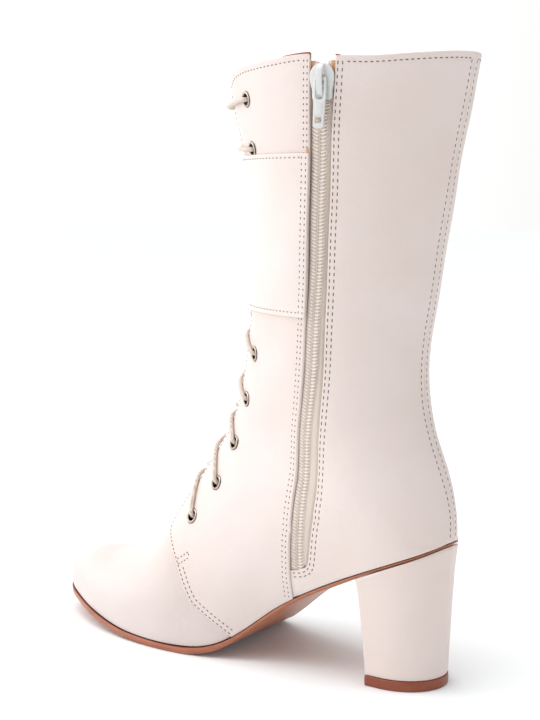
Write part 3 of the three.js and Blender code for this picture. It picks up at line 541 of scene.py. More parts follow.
    # walls: every open edge of the triangles
    count = {}
    for f in fo.tolist():
        for a, b in ((f[0], f[1]), (f[1], f[2]), (f[2], f[0])):
            count[(a, b)] = count.get((a, b), 0) + 1
    vk = set()
    for (l, e), ix in zip(loops, idx):
        for k in range(len(ix)):
            a, b = where.get(ix[k]), where.get(ix[(k + 1) % len(ix)])
            if a is None or b is None or a == b:
                continue
            if not e[k]:
                vk.add((a, b)); vk.add((b, a))
    for (a, b), c in count.items():
        if (b, a) in count or (a, b) in vk:
            continue
        faces.append([a, a + nv, b + nv, b][::-1] if False else [b, a, a + nv, b + nv])
        mats.append(wall_material)
    verts, faces, mats = merge(np.vstack([top, low]), faces, mats)
    return new_object(name, verts, faces, node, materials=materials, face_material=mats)


def blob(nu=8, nv=5):
    """Unit rounded bead along x, as (verts, faces)."""
    v = [(-1, 0, 0)]
    for i in range(1, nv):
        a = math.pi * i / nv
        x, r = -math.cos(a), math.sin(a)**0.62
        for j in range(nu):
            b = 2 * math.pi * j / nu
            v.append((x, r * math.cos(b), r * math.sin(b)))
    v.append((1, 0, 0))
    f = []
    for j in range(nu):
        f.append((0, 1 + (j + 1) % nu, 1 + j))
        for i in range(nv - 2):
            a, b = 1 + i * nu + j, 1 + i * nu + (j + 1) % nu
            f.append((a, b, b + nu, a + nu))
        f.append((1 + (nv - 2) * nu + j, 1 + (nv - 2) * nu + (j + 1) % nu, len(v) - 1))
    return np.array(v, float), f


def beads(centres, along, up, sizes, shape=None):
    """Many beads: centres (n,3), unit along, unit up, sizes (n,3) half lengths along, across, up."""
    bv, bf = shape or blob()
    across = np.cross(up, along)
    across /= np.maximum(np.linalg.norm(across, axis=1, keepdims=True), 1e-9)
    upp = np.cross(along, across)
    sizes = np.broadcast_to(np.asarray(sizes, float), (len(centres), 3))
    V = centres[:, None, :] + bv[None, :, 0:1] * (along * sizes[:, 0:1])[:, None, :] + bv[None, :, 1:2] * (across * sizes[:, 1:2])[:, None, :] + bv[None, :, 2:3] * (upp * sizes[:, 2:3])[:, None, :]
    F = []
    for k in range(len(centres)):
        o = k * len(bv)
        F += [[i + o for i in f] for f in bf]
    return V.reshape(-1, 3), F


def stitch_line(c, height, pitch=3.0, length=2.2, width=0.5):
    """Row of stitches along a (q, t) line; height is a number or f(q, t)."""
    d = resample(c, 0.5)
    p = P(*d.T)
    L = np.r_[0, np.cumsum(np.linalg.norm(np.diff(p, axis=0), axis=1))]
    n = max(1, int(L[-1] / pitch))
    s = (np.arange(n) + 0.5) * L[-1] / n
    q, t = np.interp(s, L, d[:, 0]), np.interp(s, L, d[:, 1])
    q2, t2 = np.interp(s + 0.6, L, d[:, 0]), np.interp(s + 0.6, L, d[:, 1])
    q1, t1 = np.interp(s - 0.6, L, d[:, 0]), np.interp(s - 0.6, L, d[:, 1])
    hh = height(q, t) if callable(height) else height
    c0 = S(q, t, hh)
    a = S(q2, t2, hh) - S(q1, t1, hh)
    a /= np.linalg.norm(a, axis=1, keepdims=True)
    return c0, a, N(q, t), length, width


def tube(path, radius, seg=12, up=None, flat=None, braid=0.0, pitch=1.7, close=True):
    """Cord along a path (mm).  flat gives the thickness factor along `up` at each point."""
    path = np.asarray(path, float)
    n = len(path)
    tan = np.gradient(path, axis=0)
    tan /= np.linalg.norm(tan, axis=1, keepdims=True)
    if up is None:
        u = np.array([0, 0, 1.0])
        up = np.zeros_like(path)
        v = np.cross(tan[0], u if abs(tan[0] @ u) < .9 else np.array([1.0, 0, 0]))
        for i in range(n):
            v = v - tan[i] * (v @ tan[i])
            v /= np.linalg.norm(v)
            up[i] = v
    up = up - tan * (up * tan).sum(1, keepdims=True)
    up /= np.linalg.norm(up, axis=1, keepdims=True)
    sd = np.cross(tan, up)
    flat = np.ones(n) if flat is None else np.asarray(flat, float)
    radius = np.broadcast_to(np.asarray(radius, float), (n,))
    L = np.r_[0, np.cumsum(np.linalg.norm(np.diff(path, axis=0), axis=1))]
    th = np.linspace(0, 2 * np.pi, seg, endpoint=False)
    rr = radius[:, None] * (1 + braid * np.cos(2 * np.pi * L[:, None] / pitch + 3 * th[None]) * np.cos(2 * np.pi * L[:, None] / pitch - 3 * th[None]))
    wide = 1 + 0.32 * (1 - flat)
    V = path[:, None] + sd[:, None] * (rr * np.cos(th) * wide[:, None])[..., None] + up[:, None] * (rr * np.sin(th) * flat[:, None])[..., None]
    V = V.reshape(-1, 3)
    F = []
    for i in range(n - 1):
        for j in range(seg):
            a, b = i * seg + j, i * seg + (j + 1) % seg
            F.append([a, b, b + seg, a + seg])
    if close:
        V = np.vstack([V, path[0] - tan[0] * radius[0] * .45, path[-1] + tan[-1] * radius[-1] * .45])
        for j in range(seg):
            F.append([len(V) - 2, (j + 1) % seg, j])
            F.append([len(V) - 1, (n - 1) * seg + j, (n - 1) * seg + (j + 1) % seg])
    return V, F


def lathe(profile, frame_m, seg=40):
    """Ring from a closed profile [(r, h)] about the third axis of frame_m = (O, a, b, n)."""
    O, a, b, n = frame_m
    prof = np.asarray(profile, float)
    th = np.linspace(0, 2 * np.pi, seg, endpoint=False)
    V = O + (prof[:, 0][:, None, None] * (np.cos(th)[None, :, None] * a + np.sin(th)[None, :, None] * b)) + prof[:, 1][:, None, None] * n
    m = len(prof)
    F = []
    for i in range(m):
        for j in range(seg):
            k, l = (i + 1) % m, (j + 1) % seg
            F.append([i * seg + j, i * seg + l, k * seg + l, k * seg + j])
    return V.reshape(-1, 3), F


def plate(outline, holes, z0, z1, r, frame_m, cap_cell=1.2):
    """Flat piece with rounded edges: outline and holes in its plane, from z0 to z1."""
    O, a, b, n = frame_m
    steps = [(0.0, r), (0.3 * r * .5, 0.45 * r), (0.3 * r, 0.3 * r), (r * .65, 0.08 * r), (r, 0.0)]
    prof = [(z0 + h, d) for h, d in steps] + [(z1 - h, d) for h, d in reversed(steps)]

    def ring(loop, d, sign):
        loop = np.asarray(loop, float)
        e = np.roll(loop, -1, 0) - loop
        e /= np.maximum(np.linalg.norm(e, axis=1, keepdims=True), 1e-9)
        nn = np.stack([-e[:, 1], e[:, 0]], 1)
        m = nn + np.roll(nn, 1, 0)
        m /= np.maximum((m * nn).sum(1, keepdims=True), 0.4)
        return loop + m * d * sign
    V, F, base = [], [], 0
    caps = {0: [], 1: []}
    for li, loop in enumerate([outline] + list(holes)):
        loop = np.asarray(loop, float)
        ar = 0.5 * (loop[:, 0] * np.roll(loop[:, 1], -1) - np.roll(loop[:, 0], -1) * loop[:, 1]).sum()
        if ar < 0:
            loop = loop[::-1]
        sign = 1 if li == 0 else -1
        m = len(loop)
        for k, (z, d) in enumerate(prof):
            rr = ring(loop, d, sign)
            V.append(O + rr[:, :1] * a + rr[:, 1:] * b + z * n)
            if k:
                for j in range(m):
                    p, p2 = base + (k - 1) * m + j, base + (k - 1) * m + (j + 1) % m
                    f = [p, p2, p2 + m, p + m]
                    F.append(f if li == 0 else f[::-1])
        caps[0].append((ring(loop, prof[0][1], sign), base))
        caps[1].append((ring(loop, prof[-1][1], sign), base + (len(prof) - 1) * m))
        base += m * len(prof)
    for c in (0, 1):
        pts = np.vstack([x for x, _ in caps[c]])
        ids = np.concatenate([np.arange(len(x)) + b0 for x, b0 in caps[c]])
        ed, k0 = [], 0
        for x, _ in caps[c]:
            ed += [(k0 + j, k0 + (j + 1) % len(x)) for j in range(len(x))]
            k0 += len(x)
        vo, _, fo, ov, _, _ = delaunay_2d_cdt([Vector(p) for p in pts.tolist()], ed, [], 0, 1e-7)
        vo = np.array([tuple(v) for v in vo])
        for f in fo:
            cen = vo[list(f)].mean(0)[None]
            if not inside(cen, caps[c][0][0])[0] or any(inside(cen, h[0])[0] for h in caps[c][1:]):
                continue
            if any(not len(ov[i]) for i in f):
                continue
            g = [int(ids[ov[i][0]]) for i in f]
            tri = vo[list(f)]
            ccw = (tri[1, 0] - tri[0, 0]) * (tri[2, 1] - tri[0, 1]) - (tri[1, 1] - tri[0, 1]) * (tri[2, 0] - tri[0, 0]) > 0
            F.append(g if ccw == (c == 1) else g[::-1])
    V = np.vstack(V)
    if np.cross(a, b) @ n < 0:
        F = [f[::-1] for f in F]
    return V, F


def join_parts(parts):
    V, F, M, o = [], [], [], 0
    for p in parts:
        v, f = p[0], p[1]
        m = p[2] if len(p) > 2 else 0
        V.append(v)
        F += [[i + o for i in x] for x in f]
        M += [m] * len(f)
        o += len(v)
    return np.vstack(V), F, M


# ------------------------------------------------------------------ materials
def srgb(r, g, b):
    f = lambda c: (c / 255 / 12.92) if c / 255 <= 0.04045 else ((c / 255 + 0.055) / 1.055)**2.4
    return (f(r), f(g), f(b), 1.0)


class Mat:
    def __init__(self, name):
        self.m = bpy.data.materials.new(name)
        self.m.use_nodes = True
        self.nt = self.m.node_tree
        self.nt.nodes.clear()
        self.out = self.nt.nodes.new("ShaderNodeOutputMaterial")
        self.b = self.nt.nodes.new("ShaderNodeBsdfPrincipled")
        self.nt.links.new(self.b.outputs[0], self.out.inputs[0])
        self.tc = self.nt.nodes.new("ShaderNodeTexCoord")
        self.height = None

    def link(self, a, b):
        self.nt.links.new(a, b)

    def node(self, kind, **kw):
        n = self.nt.nodes.new(kind)
        for k, v in kw.items():
            setattr(n, k, v)
        return n

    def coords(self, scale=(1, 1, 1), rot=(0, 0, 0), src="Object"):
        mp = self.node("ShaderNodeMapping")
        mp.inputs["Scale"].default_value = scale
        mp.inputs["Rotation"].default_value = rot
        self.link(self.tc.outputs[src], mp.inputs["Vector"])
        return mp.outputs[0]

    def noise(self, scale, detail=3, rough=0.55, vec=None, dist=0.0):
        n = self.node("ShaderNodeTexNoise")
        n.inputs["Scale"].default_value = scale
        n.inputs["Detail"].default_value = detail
        n.inputs["Roughness"].default_value = rough
        n.inputs["Distortion"].default_value = dist
        self.link(vec or self.tc.outputs["Object"], n.inputs["Vector"])
        return n.outputs["Fac"]

    def voronoi(self, scale, feature="DISTANCE_TO_EDGE", vec=None):
        n = self.node("ShaderNodeTexVoronoi", feature=feature)
        n.inputs["Scale"].default_value = scale
        self.link(vec or self.tc.outputs["Object"], n.inputs["Vector"])
        return n.outputs["Distance"]

    def wave(self, scale, vec=None, direction="X", dist=0.0, kind="BANDS", profile="SIN"):
        n = self.node("ShaderNodeTexWave", wave_type=kind, wave_profile=profile)
        if kind == "BANDS":
            n.bands_direction = direction
        n.inputs["Scale"].default_value = scale
        n.inputs["Distortion"].default_value = dist
        self.link(vec or self.tc.outputs["Object"], n.inputs["Vector"])
        return n.outputs["Fac"]

    def ramp(self, fac, stops):
        r = self.node("ShaderNodeValToRGB")
        e = r.color_ramp.elements
        while len(e) > 2:
            e.remove(e[-1])
        for i, (p, c) in enumerate(stops):
            x = e[i] if i < 2 else e.new(p)
            x.position = p
            x.color = c if len(c) == 4 else (*c, 1)
        self.link(fac, r.inputs[0])
        return r.outputs[0]

    def math(self, op, a, b=None):
        n = self.node("ShaderNodeMath", operation=op)
        for i, x in enumerate((a, b)):
            if x is None:
                continue
            if isinstance(x, (int, float)):
                n.inputs[i].default_value = x
            else:
                self.link(x, n.inputs[i])
        return n.outputs[0]

    def mix(self, fac, a, b):
        n = self.node("ShaderNodeMix", data_type="RGBA")
        for i, x in ((0, fac), (6, a), (7, b)):
            if isinstance(x, (int, float)):
                n.inputs[i].default_value = x
            elif isinstance(x, tuple):
                n.inputs[i].default_value = x
            else:
                self.link(x, n.inputs[i])
        return n.outputs[2]

    def rangemap(self, x, a, b, c, d):
        n = self.node("ShaderNodeMapRange")
        n.inputs[1].default_value, n.inputs[2].default_value, n.inputs[3].default_value, n.inputs[4].default_value = a, b, c, d
        self.link(x, n.inputs[0])
        return n.outputs[0]

    def bump(self, height, strength, distance):
        n = self.node("ShaderNodeBump")
        n.inputs["Strength"].default_value = strength
        n.inputs["Distance"].default_value = distance
        self.link(height, n.inputs["Height"])
        if self.height is not None:
            self.link(self.height, n.inputs["Normal"])
        self.height = n.outputs[0]
        self.link(self.height, self.b.inputs["Normal"])

    def color(self, c):
        if isinstance(c, tuple):
            self.b.inputs["Base Color"].default_value = c
        else:
            self.link(c, self.b.inputs["Base Color"])

    def rough(self, r):
        if isinstance(r, (int, float)):
            self.b.inputs["Roughness"].default_value = r
        else:
            self.link(r, self.b.inputs["Roughness"])

    def set(self, **kw):
        for k, v in kw.items():
            self.b.inputs[k].default_value = v
        return self


def leather(name, tint=(226, 213, 209), warm=(222, 206, 199), grain=0.20, rough=0.46, coat=0.10):
    m = Mat(name)
    big = m.noise(14, 3, 0.6)
    fine = m.noise(260, 4, 0.6)
    c = m.mix(m.rangemap(big, 0.35, 0.68, 0, 1), srgb(*tint), srgb(*warm))
    pore = m.voronoi(1050)
    pores = m.rangemap(pore, 0.0, 0.10, 0.0, 1.0)
    c = m.mix(m.rangemap(pore, 0.0, 0.05, 0.10, 0.0), c, srgb(205, 186, 172))
    m.color(c)
    m.rough(m.rangemap(fine, 0.3, 0.7, rough - 0.05, rough + 0.07))
    cells = m.math("MULTIPLY", pores, m.rangemap(m.noise(420, 3), 0.3, 0.7, 0.5, 1.0))
    m.bump(cells, grain, 0.00022)
    m.bump(m.noise(2300, 2, 0.5), 0.10, 0.00010)
    m.bump(m.noise(90, 3, 0.55), 0.22, 0.0012)
    m.bump(m.noise(330, 3, 0.6), 0.20, 0.0004)
    m.set(**{"Specular IOR Level": 0.42, "Coat Weight": coat, "Coat Roughness": 0.32, "Subsurface Weight": 0.05, "Subsurface Scale": 0.0012, "Subsurface Radius": (1.0, 0.72, 0.55)})
    return m


M_LEATHER = leather("cream_leather")
# the vamp takes a darker copy of the cream leather: painted shade that tones down the strong light on its upward faces
M_VAMP_SHADED = leather("cream_leather_vamp_painted_shade", tint=(218, 206, 203), warm=(214, 200, 195), grain=0.15, rough=0.42, coat=0.14)
M_BAND = leather("cream_leather_band", tint=(229, 218, 214), warm=(225, 211, 205), grain=0.20)
# the heel takes a slightly lighter copy of the cream leather: painted light, tuned to the light the heel cover gets
M_HEEL_LIT = leather("cream_leather_heel_painted_light", tint=(228, 214, 209), warm=(224, 207, 200), grain=0.18, rough=0.44)
M_TONGUE = leather("cream_leather_tongue", tint=(230, 218, 211), warm=(224, 210, 201), grain=0.24, rough=0.52)


def raw_edge():
    """Cut or folded edge of the leather, with the red-brown dye that shows at the collar by the zip."""
    m = Mat("leather_edge")
    sep = m.node("ShaderNodeSeparateXYZ")
    m.link(m.tc.outputs["Object"], sep.inputs[0])
    x, y, z = sep.outputs
    top = m.rangemap(z, 0.3012, 0.3022, 0, 1)
    inx = m.math("MULTIPLY", m.rangemap(x, 0.018, 0.0215, 0, 1), m.rangemap(x, 0.048, 0.070, 1, 0))
    side = m.rangemap(y, 0.0, 0.01, 0, 1)
    near = m.math("MULTIPLY", m.math("MULTIPLY", top, inx), side)
    spot = m.math("MULTIPLY", near, m.rangemap(m.noise(260, 3), 0.3, 0.55, 0.55, 1.0))
    c = m.mix(m.rangemap(m.noise(700, 3), 0.35, 0.65, 0, 1), srgb(232, 217, 207), srgb(222, 205, 193))
    m.color(m.mix(spot, c, srgb(116, 62, 48)))
    m.rough(0.68)
    m.bump(m.noise(1800, 3), 0.35, 0.0003)
    m.set(**{"Specular IOR Level": 0.3})
    return m


M_EDGE = raw_edge()


def lining():
    m = Mat("lining_leather")
    n = m.noise(30, 4, 0.6)
    m.color(m.mix(m.rangemap(n, 0.35, 0.65, 0, 1), srgb(226, 208, 190), srgb(214, 193, 173)))
    m.rough(m.rangemap(m.noise(300, 3), 0.3, 0.7, 0.58, 0.74))
    m.bump(m.voronoi(900), 0.18, 0.0003)
    m.bump(m.noise(1500, 3), 0.15, 0.0002)
    m.set(**{"Specular IOR Level": 0.3})
    return m


M_LINING = lining()


def thread():
    m = Mat("stitch_thread")
    w = m.wave(1100, m.coords(rot=(0.5, 0.6, 0.7)), "X")
    m.color(m.mix(w, srgb(128, 108, 96), srgb(94, 76, 66)))
    m.rough(0.62)
    m.bump(w, 0.5, 0.0002)
    m.set(**{"Sheen Weight": 0.15, "Specular IOR Level": 0.3})
    return m


M_THREAD = thread()


def needle_hole_painted_shade():
    # dark brown: painted shade of a needle hole, laid on the leather as a flat disc
    m = Mat("needle_hole_painted_shade")
    m.color(m.mix(m.rangemap(m.noise(900, 2), 0.3, 0.7, 0, 1), srgb(88, 70, 60), srgb(70, 54, 46)))
    m.rough(0.85)
    m.bump(m.noise(2500, 2), 0.3, 0.0001)
    return m


M_HOLE_SHADE = needle_hole_painted_shade()


def cord():
    m = Mat("lace_cord")
    w1 = m.wave(620, m.coords(rot=(0.78, 0.3, 0.2)), "X", 0.6)
    w2 = m.wave(620, m.coords(rot=(-0.78, 0.2, 1.1)), "X", 0.6)
    w = m.math("MAXIMUM", w1, w2)
    m.color(m.mix(m.rangemap(w, 0.2, 0.95, 0, 1), srgb(190, 170, 154), srgb(234, 221, 210)))
    m.rough(0.78)
    m.bump(w, 0.55, 0.0003)
    m.bump(m.noise(3200, 2), 0.2, 0.0001)
    m.set(**{"Sheen Weight": 0.25, "Sheen Roughness": 0.5, "Specular IOR Level": 0.25})
    return m


M_CORD = cord()


def tape():
    m = Mat("zip_tape")
    v = m.coords(rot=(0, 0.09, 0))
    a = m.wave(560, v, "Z", 0.15)
    b = m.wave(480, m.coords(rot=(0, 0.7, 0)), "Z", 0.15)
    w = m.math("MULTIPLY", a, b)
    m.color(m.mix(m.rangemap(w, 0.1, 0.8, 0, 1), srgb(212, 198, 187), srgb(233, 221, 211)))
    m.rough(0.86)
    m.bump(w, 0.6, 0.0003)
    m.set(**{"Sheen Weight": 0.2, "Specular IOR Level": 0.2})
    return m


M_TAPE = tape()


def plain(name, c1, c2, rough, scale=60, bump=0.05, **kw):
    m = Mat(name)
    m.color(m.mix(m.rangemap(m.noise(scale, 4), 0.3, 0.7, 0, 1), srgb(*c1), srgb(*c2)))
    m.rough(m.rangemap(m.noise(scale * 4, 3), 0.3, 0.7, rough - 0.05, rough + 0.07))
    m.bump(m.noise(scale * 22, 3), bump, 0.0002)
    m.set(**kw)
    return m


M_COIL = plain("zip_coil_nylon", (232, 221, 214), (222, 210, 202), 0.42, 80, 0.08, **{"Specular IOR Level": 0.5, "Subsurface Weight": 0.08, "Subsurface Scale": 0.001})
# darker copy of the coil's nylon: painted shade for the grooves between the turns, used on the heads, side beads and
# body
M_COIL_PAINTED_SHADE = plain("zip_coil_painted_shade", (206, 191, 181), (195, 180, 169), 0.7, 200, 0.2)
M_CHAINTHREAD = plain("zip_chain_thread", (223, 211, 202), (213, 200, 191), 0.7, 200, 0.3)
M_WHITEMETAL = plain("zip_white_enamel", (220, 221, 220), (208, 209, 208), 0.30, 70, 0.10, **{"Coat Weight": 0.35, "Coat Roughness": 0.18, "Specular IOR Level": 0.55})
M_FOLD = plain("tape_end_tan", (222, 178, 142), (200, 150, 114), 0.8, 300, 0.4)


def eyelet_metal(name, a, b, c):
    m = Mat(name)
    n = m.noise(420, 4, 0.65)
    m.color(m.ramp(n, [(0.30, srgb(*a)), (0.50, srgb(*b)), (0.72, srgb(*c))]))
    m.rough(m.rangemap(m.noise(900, 3), 0.3, 0.7, 0.24, 0.44))
    m.bump(m.noise(1500, 3), 0.10, 0.0002)
    m.set(Metallic=0.92)
    return m


M_EYELET = eyelet_metal("eyelet_aged_metal", (140, 126, 118), (190, 178, 168), (204, 158, 132))
# dark metal for the eyelet's bore and the rim's outer edge and underside: painted shade in the hole and where the rim
# meets the leather
M_EYELET_SHADE = eyelet_metal("eyelet_painted_shade", (44, 36, 32), (74, 62, 56), (104, 74, 58))


def sole_leather(name, edge):
    m = Mat(name)
    grain = m.noise(60, 4, 0.6, m.coords(scale=(0.35, 1, 1)))
    streak = m.noise(420, 3, 0.6, m.coords(scale=(0.12, 1, 1)))
    c = m.mix(m.rangemap(grain, 0.3, 0.7, 0, 1), srgb(*edge[0]), srgb(*edge[1]))
    c = m.mix(m.rangemap(streak, 0.45, 0.75, 0, 0.45), c, srgb(*edge[2]))
    m.color(c)
    m.rough(m.rangemap(streak, 0.3, 0.7, 0.36, 0.50))
    m.bump(streak, 0.22, 0.0004)
    m.bump(m.noise(1600, 3), 0.10, 0.0002)
    m.set(**{"Coat Weight": 0.22, "Coat Roughness": 0.25, "Specular IOR Level": 0.45})
    return m


M_SOLE_EDGE = sole_leather("sole_edge", ((174, 102, 69), (158, 88, 58), (126, 68, 44)))
# lighter copy of the sole leather for the underside: painted light where little light reaches from below
M_SOLE_BOTTOM_LIT = sole_leather("sole_bottom_painted_light", ((188, 120, 84), (172, 104, 72), (146, 84, 58)))
M_SOLE_DARK = plain("sole_dark_line", (122, 62, 44), (98, 48, 34), 0.5, 200, 0.1)
M_TOPPIECE = sole_leather("top_piece", ((150, 74, 44), (134, 62, 36), (112, 50, 30)))


def sock():
    m = Mat("insole_leather")
    m.color(m.mix(m.rangemap(m.noise(25, 4), 0.3, 0.7, 0, 1), srgb(224, 205, 186), srgb(210, 188, 167)))
    m.rough(0.66)
    m.bump(m.voronoi(700), 0.2, 0.0003)
    return m


M_SOCK = sock()

# ------------------------------------------------------------------ lines on the boot


def zip_line(col, zs):
    x = np.interp(zs, ZIP[:, 0], ZIP[:, col])
    return find(np.stack([x, zs], 1), (0, 2), 1, qmin=9)


def smooth_table(tab, n=4):
    """Denser table with rounded corners."""
    x = np.linspace(tab[0, 0], tab[-1, 0], (len(tab) - 1) * 8 + 1)
    out = [x]
    for k in range(1, tab.shape[1]):
        y = np.interp(x, tab[:, 0], tab[:, k])
        for _ in range(n):
            y[1:-1] = (y[:-2] + 2 * y[1:-1] + y[2:]) / 4
        out.append(y)
    return np.stack(out, 1)


ZIP = smooth_table(ZIP, 10)
THROAT = smooth_table(THROAT, 10)

# collar, both sides, from the front corner backwards
_cx = np.r_[np.linspace(102.5, 93, 18), np.linspace(92, -22, 76)]
_sx, _sz = COLLAR[:, 0], COLLAR[:, 1]


def collar_line(side):
    # by the table's own run, so that the steep front corner is followed
    d = np.concatenate([np.linspace(COLLAR[i], COLLAR[i + 1], 9)[:-1] for i in range(1, len(COLLAR) - 1)] + [COLLAR[-1:]])[::-1]
    for _ in range(6):
        d[1:-1] = (d[:-2] + 2 * d[1:-1] + d[2:]) / 4
    edge_x = P(24.7, 0.999 * side)[0]
    d = d[(d[:, 0] > edge_x + 1.2)]
    c = find(d, (0, 2), side, qmin=18)
    # last point on the back seam
    q = np.linspace(22, LAST, 400)
    b = P(q, np.full(400, float(side)))
    zc = np.interp(b[:, 0], _sx, _sz)
    k = np.abs(b[:, 2] - zc).argmin()
    return np.vstack([c, [q[k], side]])


COLLAR_M, COLLAR_L = collar_line(1), collar_line(-1)
BACK_Q = COLLAR_M[-1, 0]


def throat_line(side):
    zs = np.linspace(296, 92, 60)
    y = np.interp(zs, THROAT[:, 0], THROAT[:, 1]) + side * np.interp(zs, THROAT[:, 0], THROAT[:, 2])
    return find(np.stack([y, zs], 1), (1, 2), 0, qmin=9.2)


def seam_line(side):
    x = np.linspace(0, len(SEAM) - 1, 80)
    fq, ft = spline(SEAM[:, 0]), spline(SEAM[:, 1])
    t = np.clip(ft(x), 0, 1)
    t[-1] = 1
    return np.stack([fq(x), side * t], 1)


def facing(side):
    """Edge of the quarter: down the facing, round the corner and along the vamp seam to the sole."""
    th = throat_line(side)
    th = th[P(*th.T)[:, 2] > 93]
    sm = seam_line(side)
    both = np.vstack([th, sm])
    both = resample(both, 1.5)
    end = both[-1].copy()
    both = soften_line(both, 10)
    both[-1] = end
    return both


FACING_M, FACING_L = facing(1), facing(-1)


def feather(side, q0, q1):
    return np.stack([np.linspace(q0, q1, max(3, int(abs(q1 - q0) * 6))), np.full(max(3, int(abs(q1 - q0) * 6)), float(side))], 1)


Z_FRONT_SEAM = np.array([[54.9, 53.0], [55.3, 48.0], [55.8, 42.5], [56.3, 38.6]])
zf_z = np.linspace(312, 57, 130)
ZIP_FRONT = zip_line(1, zf_z)
_low = find(Z_FRONT_SEAM, (0, 2), 1, qmin=9)
ZIP_FRONT = soften_line(np.vstack([ZIP_FRONT, _low]), 2)
_d = ZIP_FRONT[-1] - ZIP_FRONT[-2]
_end = ZIP_FRONT[-1] + _d * ((1 - ZIP_FRONT[-1][1]) / max(_d[1], 1e-6))
ZIP_FRONT = np.vstack([ZIP_FRONT, _end])

ZIP_BACK = zip_line(3, np.linspace(312, 66, 120))
_corner = find(np.array([[42.75, 63.0], [43.1, 60.2], [44.0, 57.6], [45.6, 55.7], [47.8, 54.6], [50.5, 54.0], [53.5, 53.6], [58.0, 53.0], [62.0, 52.6]]), (0, 2), 1, qmin=9)
ZIP_BACK = soften_line(np.vstack([ZIP_BACK, _corner]), 1)
UNDER = ZIP_BACK[-1]

SEAM_Q = lambda t: np.interp(np.abs(t), np.clip(seam_line(1)[:, 1], 0, 1), seam_line(1)[:, 0])

# quarter, inner side, front part
c1, c2 = cross(COLLAR_M, ZIP_FRONT)
_f, _c = cross(FACING_M, COLLAR_M)
_, collar_rest = cross(FACING_M, COLLAR_M)
facing_down_m = FACING_M[len(_f) - 1:].copy()
facing_down_m = np.vstack([_f[-1], facing_down_m])
col_m_front, zip_down = cross(collar_rest, ZIP_FRONT)
zip_end_q = zip_down[-1][0]
QM = [(col_m_front, True), (zip_down, True), (feather(1, zip_end_q, float(SEAM[-1, 0])), True), (facing_down_m[::-1], True)]

# quarter, inner side, back part
col_m_back_up, _z = cross(ZIP_BACK, COLLAR_M)
_zb, col_m_back = cross(ZIP_BACK, COLLAR_M)
zip_back_down = np.vstack([_zb[-1], ZIP_BACK[len(_zb) - 1:]])
UNDER_END = np.array([UNDER[0] + 0.0, 1.0])
under_q = float(np.interp(62.5, COLUMN["bx"](np.linspace(16, 9, 400)), np.linspace(16, 9, 400)))
QB = [(col_m_back, True), (np.array([[BACK_Q, 1.0], [HEEL_ROW, 1.0]]), True), (feather(1, HEEL_ROW, under_q), True), (np.array([[under_q, 1.0], UNDER]), True), (zip_back_down[::-1], True)]

# quarter, outer side
_fl, collar_rest_l = cross(FACING_L, COLLAR_L)
facing_down_l = np.vstack([_fl[-1], FACING_L[len(_fl) - 1:]])
QL = [(collar_rest_l, True), (np.array([[BACK_Q, -1.0], [HEEL_ROW, -1.0]]), True), (feather(-1, HEEL_ROW, float(SEAM[-1, 0])), True), (facing_down_l[::-1], True)]


# vamp
def vamp_rear():
    t = np.linspace(1, -1, 120)
    q = np.where(np.abs(t) > 0.3, SEAM_Q(t) + 0.5, 10.02)
    q = np.convolve(np.r_[q[:1].repeat(5), q, q[-1:].repeat(5)], np.ones(11) / 11, "valid")
    return np.stack([q, t], 1)


VR = vamp_rear()
VAMP = [(np.array([[0.0, -1.0], [0.0, 0.0], [0.0, 1.0]]), False), (feather(1, 0, VR[0][0]), True), (VR, True), (feather(-1, VR[-1][0], 0), True)]


# heights of the layers
def seam_side(q, t):
    return q - SEAM_Q(t)


def quarter_out(q, t):
    return 0.45 - 0.45 * smooth(0.74, 0.9, np.abs(t)) * smooth(12.5, 14.5, q)


def quarter_in(q, t):
    return -0.4 - 0.8 * smooth(0.55, 0.95, seam_side(q, t))


def quarter_front_in(q, t):
    p = P(q, t)
    under = smooth(58, 62, p[..., 2]) + smooth(64, 67, p[..., 0])
    return -0.4 - 0.8 * smooth(0.55, 0.95, seam_side(q, t)) * np.clip(under, 0, 1)


def back_out(q, t):
    p = P(q, t)
    sunk = smooth(50.5, 55.0, p[..., 0]) * (1 - smooth(56.5, 60, p[..., 2]))
    return 0.05 - 0.5 * sunk


def vamp_out(q, t):
    d = seam_side(q, t)
    return -0.05 - 0.42 * smooth(-0.30, -0.02, d)


const = lambda v: (lambda q, t: np.full(np.shape(q), float(v)))


# ------------------------------------------------------------------ stitch rows
def offset_row(line, d, side, trim=(0.0, 0.0)):
    """Row d mm inside an edge.  side 1 or -1 chooses which way; trim cuts mm off its ends."""
    c = resample(line, 1.0)
    r = inset(c, d * side)
    a, b = int(round(trim[0])), int(round(trim[1]))
    return r[a:len(r) - b if b else None]


def pick_side(line, d, test):
    """The sign for inset() that moves the line towards test."""
    c = resample(line, 4.0)
    m = c[len(c) // 2:len(c) // 2 + 1]
    p = P(*m.T)[0]
    best = None
    for s in (1, -1):
        r = inset(c, d * s)
        e = np.linalg.norm(P(*r[len(c) // 2:len(c) // 2 + 1].T)[0] - np.asarray(test, float))
        if best is None or e < best[0]:
            best = (e, s)
    return best[1]


rows_m, rows_b, rows_l, rows_v = [], [], [], []

s_zf = pick_side(zip_down, 3, (80, 30, 190))


def row_between(line, d0, d1, side, z0, z1, trim):
    """Row that moves from d0 mm inside the edge below z0 to d1 above z1."""
    a, b = offset_row(line, d0, side, trim), offset_row(line, d1, side, trim)
    k = smooth(z0, z1, P(*a.T)[:, 2])[:, None]
    return a * (1 - k) + b * k


zf_rows = [row_between(zip_down, 2.2, 1.3, s_zf, 225, 262, (2, 0)), row_between(zip_down, 4.3, 3.2, s_zf, 225, 262, (2, 0))]
s_zb = pick_side(zip_back_down, 3, (10, 30, 190))


def cut_at(c, test):
    """Keeps the points of c for which test(p) holds."""
    return c[test(P(*c.T))]


